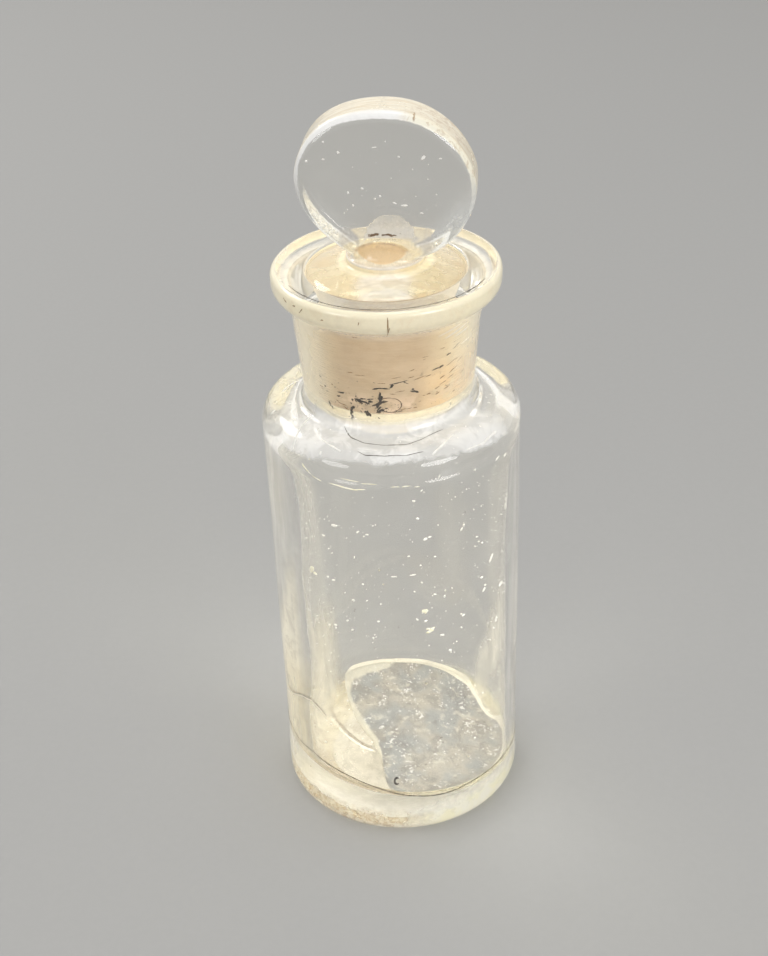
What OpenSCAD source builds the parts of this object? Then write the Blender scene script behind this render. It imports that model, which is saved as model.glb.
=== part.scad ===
// Small round apothecary bottle of clear blown glass with a ground-in disc stopper.
// Millimetres, +Z up. The origin is the middle of the foot, on the surface that the bottle stands on.

/* [Body] */
// Outer diameter of the body
body_d = 32; // [28:0.5:42]
// Height of the shoulder's outer edge above the table
shoulder_z = 58.8; // [50:0.2:80]
// Thickness of the side wall
wall_t = 2; // [1.4:0.1:2.6]
// Outer rounding of the shoulder
shoulder_round = 3; // [2:0.1:4]
// Inner rounding of the shoulder
inner_shoulder_round = 3; // [2:0.1:4]
// Thickness of the glass in the shoulder's deck
deck_t = 2.2; // [1.6:0.1:2.8]
// Rise of the deck from the shoulder's edge to the root of the neck
deck_rise = 0.7; // [0.2:0.1:1.5]
// Rounding of the heel, where the body meets the foot
heel_round = 1.5; // [0.6:0.1:2.2]

/* [Foot and floor] */
// Height of the inner floor above the table, at the bottle's axis
floor_z = 4.3; // [3:0.1:6]
// Slope of the inner floor, down towards +X, where the glass ran thinner
floor_tilt = 7; // [0:0.5:8]
// Rounding between the inner floor and the wall
inner_heel_round = 4; // [2:0.1:5]
// Width that the tilted floor has past the inner wall, so that its heel meets the wall all round
floor_overrun = 0.6; // [0.2:0.1:1]
// Diameter of the shallow hollow under the foot
kick_d = 22; // [14:0.5:25]
// Depth of the shallow hollow under the foot
kick_h = 0.8; // [0.3:0.1:1.5]

/* [Neck] */
// Outer radius of the neck at its root
neck_root_r = 10.45; // [10.2:0.05:11]
// Outer radius of the neck under the lip
neck_top_r = 11.6; // [11.2:0.05:12]
// Rounding between the deck and the neck
neck_root_round = 1.5; // [0.5:0.1:2]
// Rounding of the inner edge where the neck opens into the body
nose_round = 1.6; // [0.8:0.1:1.8]

/* [Lip] */
// Diameter of the flanged lip
lip_d = 27.4; // [26:0.2:30]
// Height of the top of the lip above the shoulder's edge
lip_top_h = 17.6; // [15:0.1:24]
// Thickness of the lip at its rim
lip_t = 3.5; // [2.8:0.1:4.5]
// Rounding of the two edges of the lip's rim
lip_round = 1.2; // [0.6:0.1:1.3]
// Rounding between the neck and the underside of the lip
lip_root_round = 0.7; // [0.3:0.1:0.8]
// Depth to which the lip's top is dished towards the mouth
dish_h = 0.5; // [0.2:0.1:0.8]
// Rounding of the edge of the mouth
mouth_round = 0.4; // [0.2:0.05:0.5]

/* [Ground joint] */
// Radius of the ground bore at the level of the plug's upper edge
bore_top_r = 9.47; // [9.2:0.01:9.8]
// Change of the ground bore's radius for each millimetre of depth
bore_taper = 0.066; // [0.04:0.002:0.08]
// Length of the ground zone
ground_l = 14.1; // [10:0.1:15]
// Radial gap between the seated plug and the bore
joint_gap = 0.04; // [0.02:0.01:0.1]

/* [Stopper plug] */
// Depth of the plug's upper edge below the mouth
plug_inset = 0.5; // [0.2:0.1:1]
// Length of the clear end below the ground zone
plug_end_l = 4.8; // [3:0.1:6]
// Step in radius from the ground zone to the clear end
plug_end_step = 0.3; // [0.1:0.05:0.8]
// Rounding of the plug's lower edge
plug_end_round = 1.4; // [0.5:0.1:2.5]
// Width of the bevel round the plug's upper edge
plug_bevel_w = 0.45; // [0.2:0.05:0.8]
// Height of the bevel round the plug's upper edge
plug_bevel_h = 0.4; // [0.2:0.05:0.8]
// Rise of the plug's domed top
dome_h = 1.5; // [0.8:0.1:2.5]

/* [Stopper foot and disc] */
// Radius of the bead at the foot of the disc
bead_r = 4.65; // [4:0.05:5.5]
// Radius of the bead's own section
bead_section_r = 0.55; // [0.3:0.05:0.8]
// Radius of the hollow curve from the bead up to the disc's faces
foot_curve_r = 3; // [2.2:0.1:4]
// Width of the disc
disc_w = 20.5; // [17:0.1:23]
// Height of the disc
disc_h = 18.5; // [16:0.1:20]
// Thickness of the disc
disc_t = 6.3; // [5.5:0.1:7]
// Radius of the disc's two side arcs
disc_side_r = 7; // [6:0.1:7.9]
// Rounding of the disc's two edges
disc_round = 0.9; // [0.4:0.1:1.5]
// Angle by which the disc is turned from facing -Y
disc_turn = -6; // [-90:1:90]

/* [Dried residue] */
// Radius of the film left on the flat of the inner floor
film_r = 10.1; // [6:0.1:10.4]
// Thickness of the film
film_t = 0.25; // [0.1:0.05:0.5]
// Radius of the round bite that stayed bare on the high side of the floor
film_bite_r = 20; // [12:0.5:30]
// Distance from the floor's middle to the edge of that bite
film_bite_x = 4; // [1:0.1:6]

/* [Hidden] */
$fn = 128;
fine = 720;            // facets of the few very large circles
clear_color = [0.86, 0.87, 0.83, 0.45];
residue_color = [0.72, 0.70, 0.66];
join = 0.2;            // how far neighbouring shapes reach into each other
spare = 2;             // how far a cutting shape reaches past what it cuts

body_r = body_d / 2;
bore_r = body_r - wall_t;
lip_r = lip_d / 2;

// Heights of the bottle, from the shoulder's edge upwards
deck_under_z = shoulder_z - deck_t;
lip_top_z = shoulder_z + lip_top_h;
lip_low_z = lip_top_z - lip_t;
mouth_z = lip_top_z - dish_h;

// The ground zone hangs from the mouth
plug_edge_z = mouth_z - plug_inset;
ground_low_z = plug_edge_z - ground_l;
throat_r = bore_top_r - bore_taper * ground_l;
mouth_r = bore_top_r + bore_taper * plug_inset;

// The plug follows the bore, less the gap
plug_top_r = bore_top_r - joint_gap;
plug_low_r = throat_r - joint_gap;
plug_end_r = plug_low_r - plug_end_step;
plug_low_z = ground_low_z - plug_end_l;
dome_r = plug_top_r - plug_bevel_w;
dome_low_z = plug_edge_z + plug_bevel_h;
dome_top_z = dome_low_z + dome_h;
dome_sphere_r = (dome_r * dome_r + dome_h * dome_h) / (2 * dome_h);

// The foot stands where the dome reaches the bead's circle
bead_mid_r = bead_r - bead_section_r;
foot_z = dome_top_z - dome_sphere_r + sqrt(dome_sphere_r * dome_sphere_r - bead_r * bead_r);
bead_z = foot_z + bead_section_r / 2;
foot_top_z = bead_z + foot_curve_r;
disc_z = foot_z + disc_h / 2;

// The disc's outline is an oval of four arcs that run into each other
disc_side_x = disc_w / 2 - disc_side_r;
disc_long_r = (disc_side_x * disc_side_x + disc_h * disc_h / 4 - disc_side_r * disc_side_r)
            / (disc_h - 2 * disc_side_r);
disc_long_z = disc_long_r - disc_h / 2;

// The hollow under the foot is part of a large sphere
kick_sphere_r = (kick_d * kick_d / 4 + kick_h * kick_h) / (2 * kick_h);

// The inner floor: a dish with a rounded heel, opening wide above it
dish_r = bore_r + floor_overrun;
flat_r = dish_r - inner_heel_round;
flare = 0.7;           // widening of the dish above its heel, for each millimetre of height

function unit(v) = v / norm(v);

// Sliver between corner k and the arc of radius r that touches the lines from k to a and to b
module fillet(k, a, b, r) {
    to_a = unit(a - k);
    to_b = unit(b - k);
    middle = unit(to_a + to_b);
    half = acos(to_a * to_b) / 2;
    centre = k + middle * r / sin(half);
    difference() {
        polygon([k - middle * join, k + to_a * r / tan(half), centre, k + to_b * r / tan(half)]);
        translate(centre) circle(r = r);
    }
}

// Half profile of a round block from low to high whose two rims are rounded
module rounded_block(radius, low, high, low_round, high_round) {
    middle = (low + high) / 2;
    translate([0, low]) square([radius - low_round, middle - low]);
    translate([0, middle]) square([radius - high_round, high - middle]);
    translate([0, low + low_round]) square([radius, high - low - low_round - high_round]);
    translate([radius - low_round, low + low_round]) circle(r = low_round);
    translate([radius - high_round, high - high_round]) circle(r = high_round);
}

// Outside of the bottle: foot, body, deck, neck and flanged lip
module bottle_outline() {
    deck_edge = [body_r - shoulder_round, shoulder_z];
    deck_root = [neck_root_r, shoulder_z + deck_rise];
    neck_top = [neck_top_r, lip_low_z];
    lip_edge = [lip_r - lip_round, lip_low_z];
    difference() {
        rounded_block(body_r, 0, shoulder_z, heel_round, shoulder_round);
        translate([0, kick_h - kick_sphere_r]) circle(r = kick_sphere_r, $fn = fine);
    }
    polygon([[0, shoulder_z - join], deck_edge - [0, join], deck_edge, deck_root, neck_top,
             neck_top + [0, join], [0, lip_low_z + join]]);
    rounded_block(lip_r, lip_low_z, lip_top_z, lip_round, lip_round);
    fillet(deck_root, deck_edge, neck_top, neck_root_round);
    fillet(neck_top, deck_root, lip_edge, lip_root_round);
}

// Inside of the bottle: body, throat, ground bore and dished mouth
module bottle_hollow() {
    throat_low = [throat_r, deck_under_z];
    ground_low = [throat_r, ground_low_z];
    mouth = [mouth_r, mouth_z];
    dish_edge = [lip_r - lip_round, lip_top_z];
    square([bore_r, deck_under_z - inner_shoulder_round]);
    square([bore_r - inner_shoulder_round, deck_under_z]);
    translate([bore_r - inner_shoulder_round, deck_under_z - inner_shoulder_round])
        circle(r = inner_shoulder_round);
    polygon([[0, deck_under_z - join], throat_low - [0, join], ground_low, mouth, dish_edge,
             dish_edge + [0, spare], [0, lip_top_z + spare]]);
    fillet(throat_low, [bore_r, deck_under_z], ground_low, nose_round);
    fillet(mouth, ground_low, dish_edge, mouth_round);
}

// Puts a shape on the sloping inner floor
module on_floor() {
    translate([0, 0, floor_z]) rotate([0, floor_tilt, 0]) children();
}

// Room above the inner floor, which is wider than the hollow everywhere but at the heel
module floor_dish() {
    height = lip_top_z + spare;
    on_floor() rotate_extrude() {
        square([flat_r, inner_heel_round]);
        translate([flat_r, inner_heel_round]) circle(r = inner_heel_round);
        polygon([[0, inner_heel_round - join], [dish_r, inner_heel_round - join],
                 [dish_r, inner_heel_round], [dish_r + flare * height, height], [0, height]]);
    }
}

// The blown bottle, with its thick uneven floor and its ground mouth
module bottle() {
    color(clear_color) difference() {
        rotate_extrude() bottle_outline();
        intersection() {
            rotate_extrude() bottle_hollow();
            floor_dish();
        }
    }
}

// Half profile of the stopper's plug: clear end, ground cone, bevel and domed top
module plug_outline() {
    end_high_z = ground_low_z - plug_end_step;
    translate([0, plug_low_z]) square([plug_end_r - plug_end_round, end_high_z - plug_low_z]);
    translate([0, plug_low_z + plug_end_round])
        square([plug_end_r, end_high_z - plug_low_z - plug_end_round]);
    translate([plug_end_r - plug_end_round, plug_low_z + plug_end_round]) circle(r = plug_end_round);
    polygon([[0, end_high_z - join], [plug_end_r, end_high_z - join], [plug_end_r, end_high_z],
             [plug_low_r, ground_low_z], [plug_top_r, plug_edge_z], [dome_r, dome_low_z],
             [0, dome_low_z]]);
    intersection() {
        translate([0, dome_top_z - dome_sphere_r]) circle(r = dome_sphere_r, $fn = fine);
        translate([0, dome_low_z - join]) square([dome_r, dome_h + spare]);
    }
}

// Half profile of the foot: a bead on the dome, and a hollow curve up to the disc's faces
module foot_outline() {
    curve_x = disc_t / 2 + foot_curve_r;
    translate([bead_mid_r, bead_z]) circle(r = bead_section_r);
    difference() {
        translate([0, foot_z - join]) square([bead_mid_r, foot_top_z - foot_z + join]);
        translate([curve_x, foot_top_z]) circle(r = foot_curve_r);
    }
}

// Half profile of a round disc of the stopper's thickness, with both edges rounded
module disc_section(radius) {
    translate([0, -disc_t / 2]) rounded_block(radius, 0, disc_t, disc_round, disc_round);
}

// Wedge beyond the centre of one side arc, where that arc takes over from the long arcs
module side_wedge() {
    reach = disc_w;
    angle = atan2(disc_long_z, disc_side_x);
    linear_extrude(height = disc_t + spare, center = true)
        polygon([[disc_side_x, 0],
                 [disc_side_x + reach * cos(angle), reach * sin(angle)],
                 [disc_side_x + reach * cos(angle), -reach * sin(angle)]]);
}

// The oval disc, lying flat: two long arcs above and below, and two short arcs at the sides
module disc() {
    difference() {
        intersection() {
            translate([0, -disc_long_z, 0]) rotate_extrude() disc_section(disc_long_r);
            translate([0, disc_long_z, 0]) rotate_extrude() disc_section(disc_long_r);
        }
        side_wedge();
        mirror([1, 0, 0]) side_wedge();
    }
    for (side = [-1, 1])
        translate([side * disc_side_x, 0, 0]) rotate_extrude() disc_section(disc_side_r);
}

// The stopper, one piece of pressed glass: plug, foot and disc
module stopper() {
    color(clear_color) {
        rotate_extrude() plug_outline();
        rotate_extrude() foot_outline();
        translate([0, 0, disc_z]) rotate([0, 0, disc_turn]) rotate([90, 0, 0]) disc();
    }
}

// Film of dried contents on the low side of the inner floor
module floor_residue() {
    color(residue_color) on_floor() difference() {
        cylinder(r = film_r, h = film_t);
        translate([-film_bite_x - film_bite_r, 0, -join])
            cylinder(r = film_bite_r, h = film_t + 2 * join);
    }
}

bottle();
stopper();
floor_residue();
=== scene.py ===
from functools import reduce
import math

import bmesh
import bpy
import numpy as np
from mathutils import Matrix, Vector


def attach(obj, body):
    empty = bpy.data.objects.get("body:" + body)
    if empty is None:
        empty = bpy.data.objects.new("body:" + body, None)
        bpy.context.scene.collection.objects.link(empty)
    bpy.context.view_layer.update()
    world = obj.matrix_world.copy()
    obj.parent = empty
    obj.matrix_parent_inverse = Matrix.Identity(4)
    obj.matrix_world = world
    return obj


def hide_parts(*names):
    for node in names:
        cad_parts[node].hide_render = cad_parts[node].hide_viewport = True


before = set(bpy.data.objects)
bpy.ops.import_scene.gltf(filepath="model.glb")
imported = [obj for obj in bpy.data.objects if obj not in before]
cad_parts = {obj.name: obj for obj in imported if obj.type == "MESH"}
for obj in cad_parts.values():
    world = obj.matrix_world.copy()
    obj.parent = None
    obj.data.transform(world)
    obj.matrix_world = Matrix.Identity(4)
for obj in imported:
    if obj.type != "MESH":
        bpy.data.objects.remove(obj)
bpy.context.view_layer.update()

# Lengths below are in millimetres and become metres when a mesh is made
MM = 0.001
TURNS = 256             # points round a full circle of the glass

# Body, foot and floor
BODY_R = 16.0
HEEL_ROUND = 1.5
SHOULDER_Z = 58.8
SHOULDER_ROUND = 3.0
KICK_R = 11.0
KICK_H = 0.8
HOLLOW_R = 13.75        # inner wall, whose middle lies off the bottle's axis
HOLLOW_OFF = 0.6        # the wall is this much thicker on the left than on average
DECK_UNDER_Z = 56.6
INNER_SHOULDER_ROUND = 3.0
FLOOR_Z = 4.3
FLOOR_SLOPE = math.tan(math.radians(7))
INNER_HEEL_ROUND = 2.3

# Neck and lip
NECK_ROOT = (10.45, 59.5)
NECK_TOP = (11.6, 72.9)
NECK_ROOT_ROUND = 1.5
LIP_R = 13.7
LIP_LOW_Z = 72.9
LIP_TOP_Z = 76.4
LIP_ROUND = 0.75
LIP_LOW_ROUND = 2.0     # the lip's lower edge, as the glass drew in while it cooled
LIP_ROOT_ROUND = 0.7
MOUTH = (9.503, 75.9)
MOUTH_ROUND = 0.4

# Ground joint
GROUND_LOW_Z = 61.3
GROUND_TOP_Z = 75.4
THROAT_R = 8.539
TAPER = 0.066
JOINT_GAP = 0.04
NOSE_ROUND = 1.6

# Stopper
PLUG_LOW_Z = 56.5
PLUG_END_R = 8.2
PLUG_END_ROUND = 1.4
PLUG_END_STEP = 0.3
DOME_R = 8.98
DOME_LOW_Z = 75.8
DOME_H = 1.5
BEAD_MID_R = 4.1
BEAD_ROUND = 0.55
BEAD_Z = 77.18
FOOT_CURVE_R = 3.0
FOOT_TOP_Z = BEAD_Z + FOOT_CURVE_R
DISC_Z = 86.16
DISC_H = 18.5
DISC_W = 20.5
DISC_T = 6.3
DISC_SIDE_R = 7.0
DISC_ROUND = 1.3
DISC_TURN = math.radians(-6)
DISC_LEAN = 0.156       # sideways slip of the disc's left half for each millimetre of height
DISC_OFF = 0.45         # the pressed disc sits a little to the right of the plug's middle


# Shapes

def smooth(value, low, high):
    """0 below low, 1 above high, and in between the S-curve 3t^2 - 2t^3 of the share t of the way."""
    t = np.clip((value - low) / (high - low), 0, 1)
    return t * t * (3 - 2 * t)


def waves(around, height, seed, lobes, lengths):
    """Slow unevenness of blown glass, from 0 to 1: the mean of sine waves, each with a whole number of
    lobes round the glass, a length along its height, and a start of its own."""
    starts = np.random.default_rng(seed).uniform(0, 2 * np.pi, len(lobes))
    total = sum(np.sin(n * around + 2 * np.pi * height / length + start)
                for n, length, start in zip(lobes, lengths, starts))
    return 0.5 + 0.5 * total / len(lobes)


def rounded_path(corners, rounds, steps=10):
    """Path through corners in which a corner with a radius is an arc that touches both of its sides: the
    arc's middle lies on the bisector, at radius over sine of the half angle from the corner."""
    corners = np.array(corners, float)
    path = [corners[:1]]
    for before, corner, after, radius in zip(corners, corners[1:], corners[2:], rounds):
        if radius == 0:
            path.append(corner[None])
            continue
        to_before = (before - corner) / np.linalg.norm(before - corner)
        to_after = (after - corner) / np.linalg.norm(after - corner)
        half = math.acos(np.clip(to_before @ to_after, -1, 1)) / 2
        bisector = (to_before + to_after) / np.linalg.norm(to_before + to_after)
        middle = corner + bisector * radius / math.sin(half)
        start = corner + to_before * radius / math.tan(half) - middle
        end = corner + to_after * radius / math.tan(half) - middle
        share = np.linspace(0, 1, steps)[:, None] * (math.pi - 2 * half)
        path.append(middle + (start * np.sin(math.pi - 2 * half - share)
                              + end * np.sin(share)) / math.sin(math.pi - 2 * half))
    return np.vstack(path + [corners[-1:]])


def refined(path, spacing):
    """The same path, with every side longer than spacing cut into equal steps."""
    sides = np.diff(path, axis=0)
    steps = np.ceil(np.linalg.norm(sides, axis=1) / spacing).astype(int).clip(1)
    count = np.arange(steps.sum()) - np.repeat(np.cumsum(steps) - steps, steps)
    step = np.repeat(sides / steps[:, None], steps, axis=0)
    inner = np.repeat(path[:-1], steps, axis=0) + step * count[:, None]
    return np.vstack([inner, path[-1:]])


def circle(turns=TURNS):
    """Angles round a circle, from -Y towards +X."""
    return np.linspace(0, 2 * np.pi, turns, endpoint=False)


def ring_points(radius, around, height):
    """Points at a radius and an angle round the axis, where angle 0 faces -Y and a quarter turn faces +X."""
    return np.stack(np.broadcast_arrays(radius * np.sin(around), -radius * np.cos(around), height), axis=-1)


def make_piece(name, points, faces, materials, tidy=True):
    """A mesh object from points in millimetres, smooth all over, with doubles merged and faces outwards."""
    mesh = bpy.data.meshes.new(name)
    mesh.from_pydata((np.asarray(points, float).reshape(-1, 3) * MM).tolist(), [], faces)
    if tidy:
        shape = bmesh.new()
        shape.from_mesh(mesh)
        bmesh.ops.remove_doubles(shape, verts=shape.verts, dist=0.002 * MM)
        bmesh.ops.recalc_face_normals(shape, faces=shape.faces)
        shape.to_mesh(mesh)
        shape.free()
    mesh.polygons.foreach_set("use_smooth", np.ones(len(mesh.polygons), bool))
    for material in materials:
        mesh.materials.append(material)
    piece = bpy.data.objects.new(name, mesh)
    bpy.context.scene.collection.objects.link(piece)
    return piece


def skin_faces(copies, count, turns):
    """Faces of closed skins over rings of points: four-sided ones between neighbouring rings, and a fan from
    each end ring to a point of its own. In each copy the two end points come after all the rings."""
    index = np.arange(count * turns).reshape(count, turns)
    ahead = np.roll(index, -1, axis=1)
    quads = np.stack([index[:-1], ahead[:-1], ahead[1:], index[1:]], axis=-1).reshape(-1, 4)
    first, last = count * turns, count * turns + 1
    start = np.stack([np.full(turns, first), ahead[0], index[0]], axis=-1)
    end = np.stack([index[-1], ahead[-1], np.full(turns, last)], axis=-1)
    offset = np.arange(copies)[:, None, None] * (last + 1)
    fans = np.concatenate([start, end])
    return (quads + offset).reshape(-1, 4).tolist() + (fans + offset).reshape(-1, 3).tolist()


def skins(name, rings, materials, tidy=True):
    """One piece of closed skins, each over its own rings of points, with shape (skins, rings, turns, 3). The
    first and the last ring of a skin close in their own middles."""
    copies, count, turns = rings.shape[:3]
    ends = rings[:, [0, -1]].mean(axis=2)
    points = np.concatenate([rings.reshape(copies, -1, 3), ends], axis=1)
    return make_piece(name, points, skin_faces(copies, count, turns), materials, tidy)


# Bottle

# Seeds in the neck's root: place, width and height
NECK_SEEDS = ((-8.6, -4.9, 60.75, 0.6, 1.2), (-4.2, -9.2, 61.0, 0.2, 0.4), (6.9, -7.4, 61.4, 0.22, 0.5))


def inside_point(radius, around, height):
    """A point of the hollow. Outside the neck its middle is moved towards +X, the wall's radius shrinks by
    slow waves, the deck's underside ripples, and near the floor every point drops by x times the floor's
    slope."""
    share = radius / HOLLOW_R
    high = smooth(height, 25, 40)
    wide = share * (1 - high) + smooth(radius, THROAT_R + 1.2, HOLLOW_R - 0.8) * high
    thick = 0.35 * waves(around, height, 3, (1, 2, 3, 1), (47, 71, 39, 23))
    points = ring_points(radius - thick * wide ** 2, around, height)
    points[..., 0] += HOLLOW_OFF * wide
    under_deck = smooth(height, DECK_UNDER_Z - 2.5, DECK_UNDER_Z) * wide
    under_deck = under_deck * (1 - smooth(radius, 12.6, HOLLOW_R))
    points[..., 2] += 0.25 * under_deck * (waves(around, radius, 6, (3, 5, 8, 2), (5, 9, 7, 4)) - 0.5)
    near_floor = 1 - smooth(height, FLOOR_Z + 6, FLOOR_Z + 22)
    points[..., 2] -= points[..., 0] * FLOOR_SLOPE * near_floor
    uneven = 0.22 * (waves(3 * around, points[..., 0] + points[..., 1], 5, (1, 2), (17, 11)) - 0.5)
    points[..., 2] += uneven * near_floor * (1 - smooth(share, 0.75, 1)) * smooth(share, 0, 0.3)
    return points


def outside_point(radius, around, height):
    """A point of the outside, drawn in by slow waves on the body and the deck, by finer ones on the lip, and
    by a quarter of a millimetre on the right of the neck."""
    on_body = smooth(height, 1, 8) * (1 - smooth(height, SHOULDER_Z - 6, SHOULDER_Z))
    on_lip = smooth(height, NECK_TOP[1] - 1, LIP_LOW_Z + 1) * smooth(radius, LIP_R - 2, LIP_R - 1)
    slow = 0.16 * waves(around, height, 11, (1, 2, 3, 5), (90, 43, 31, 57))
    fine = 0.13 * waves(around, height, 12, (2, 3, 5, 9), (9, 11, 7, 13))
    above_root = smooth(height, NECK_ROOT[1], NECK_ROOT[1] + 2)
    on_neck = above_root * (1 - smooth(height, 69, NECK_TOP[1]))
    drawn = 0.27 * on_neck * smooth(np.sin(around), 0.2, 0.85)
    points = ring_points(radius - slow * on_body - fine * on_lip - drawn, around, height)
    on_deck = smooth(height, SHOULDER_Z - 1.5, SHOULDER_Z) * (1 - above_root)
    points[..., 2] -= 0.16 * on_deck * waves(around, radius, 13, (2, 4, 7, 11), (7, 5, 9, 6))
    return points


def kick_path():
    """The hollow under the foot: an arc of a large circle from the axis to the foot's ring."""
    big_r = (KICK_R ** 2 + KICK_H ** 2) / (2 * KICK_H)
    across = np.linspace(0.6, KICK_R, 14)
    return np.stack([across, KICK_H - big_r + np.sqrt(big_r ** 2 - across ** 2)], axis=-1)


def outside_path():
    """Half profile of the outside, from the middle of the foot over body, deck and neck to the mouth."""
    corners = [(KICK_R, 0), (BODY_R, 0), (BODY_R, SHOULDER_Z), NECK_ROOT, NECK_TOP, (LIP_R, LIP_LOW_Z),
               (LIP_R, LIP_TOP_Z), MOUTH, (THROAT_R, GROUND_LOW_Z)]
    rounds = [HEEL_ROUND, SHOULDER_ROUND, NECK_ROOT_ROUND, LIP_ROOT_ROUND, LIP_LOW_ROUND, LIP_ROUND,
              MOUTH_ROUND]
    path = rounded_path(corners, rounds, 12)[:-1]
    return np.vstack([kick_path()[:-1], refined(path, 0.9)])


def inside_path():
    """Half profile of the inside, from the ground bore down the wall to the middle of the floor."""
    corners = [MOUTH, (THROAT_R, GROUND_LOW_Z), (THROAT_R, DECK_UNDER_Z), (HOLLOW_R, DECK_UNDER_Z),
               (HOLLOW_R, FLOOR_Z), (0.5, FLOOR_Z)]
    rounds = [0, NOSE_ROUND, INNER_SHOULDER_ROUND, INNER_HEEL_ROUND]
    return refined(rounded_path(corners, rounds, 14)[1:], 0.9)


def add_seeds(piece, seeds):
    """Small air bubbles in the glass: each is an oval cavity whose faces look into it, as tall as its last
    number and as wide as the one before, at the place of the first three."""
    places = np.array(seeds, float)[:, None, None, :]
    down = np.linspace(0.25, np.pi - 0.25, 8)[None, :, None]
    around = np.linspace(0, 2 * np.pi, 12, endpoint=False)[None, None, :]
    x = places[..., 0] + places[..., 3] / 2 * np.sin(down) * np.cos(around)
    y = places[..., 1] + places[..., 3] / 2 * np.sin(down) * np.sin(around)
    z = places[..., 2] + places[..., 4] / 2 * np.cos(down) + 0 * around
    cavity = skins("seeds", np.stack([x, y, z], axis=-1), [])
    shape = bmesh.new()
    shape.from_mesh(cavity.data)
    bmesh.ops.reverse_faces(shape, faces=shape.faces)
    shape.from_mesh(piece.data)
    shape.to_mesh(piece.data)
    shape.free()
    bpy.data.objects.remove(cavity)


def seeds_in_wall(count, seed):
    """Random places for seeds in the middle of the bottle's wall and in its thick floor, longer than wide."""
    draw = np.random.default_rng(seed)
    around = draw.uniform(0, 2 * np.pi, count)
    low = draw.uniform(0, 1, count) < 0.35
    radius = np.where(low, 11.5 * np.sqrt(draw.uniform(0, 1, count)), 14.75)
    height = np.where(low, draw.uniform(1.7, 2.7, count) - radius * np.sin(around) * FLOOR_SLOPE * 0.5,
                      draw.uniform(9, 53, count))
    wide = 0.10 + 0.28 * draw.uniform(0, 1, count) ** 3
    return np.column_stack([radius * np.sin(around), -radius * np.cos(around), height, wide,
                            wide * draw.uniform(1.2, 2.6, count)])


def make_bottle(material):
    """Closed skin of the bottle: rings of the outside profile, then rings of the inside profile."""
    around = circle()[None, :]
    outer, inner = outside_path(), inside_path()
    rings = np.concatenate([outside_point(outer[:, :1], around, outer[:, 1:]),
                            inside_point(inner[:, :1], around, inner[:, 1:])])
    bottle = skins("bottle_glass", rings[None], [material])
    add_seeds(bottle, np.vstack([NECK_SEEDS, seeds_in_wall(46, 51)]))
    return bottle


# Dried film on the floor

FILM_MIDDLE = (3.5, 0.5)

# Tide mark in plan, in millimetres, from the front left corner clockwise seen from above
FILM_EDGE = (
    (-2.2, -12.9), (-2.55, -11.1), (-3.1, -7.6), (-3.6, -4.5), (-5.0, -1.5), (-6.9, 1.3), (-8.9, 4.2),
    (-10.4, 6.9), (-11.3, 8.8), (-11.2, 10.0), (-10.5, 10.8), (-9.4, 11.5), (-7.9, 12.4), (-6.1, 13.1),
    (-3.9, 13.9), (-1.6, 14.4), (0.75, 14.6), (2.8, 14.6), (5.3, 13.8), (7.4, 12.5), (8.6, 11.1),
    (9.9, 8.7), (11.0, 6.1), (12.0, 4.0), (13.2, 2.6), (14.2, 1.5), (14.5, 0.2), (14.4, -1.6),
    (14.0, -3.3), (13.1, -5.4), (11.8, -7.4), (10.0, -9.4), (7.6, -11.3), (4.9, -12.7), (2.3, -13.4),
    (0.0, -13.5))

CLIMB = 0.66            # climb of the film up the wall for each millimetre that its edge lies off the floor


def floor_lift(radius):
    """Height of the inner floor's rounded heel above its flat: radius of the rounding less its circle."""
    past = np.clip(radius - (HOLLOW_R - INNER_HEEL_ROUND), 0, INNER_HEEL_ROUND * 0.995)
    return INNER_HEEL_ROUND - np.sqrt(INNER_HEEL_ROUND ** 2 - past ** 2)


def on_floor(x, y, lift):
    """Points on the inner floor at places in plan, raised by lift. Places off the floor climb the wall."""
    around = np.arctan2(x, -y)
    wanted = np.hypot(x, y)
    radius = np.minimum(wanted, HOLLOW_R - 0.02 - lift)
    return inside_point(radius, around, FLOOR_Z + floor_lift(radius) + lift + CLIMB * (wanted - radius))


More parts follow.
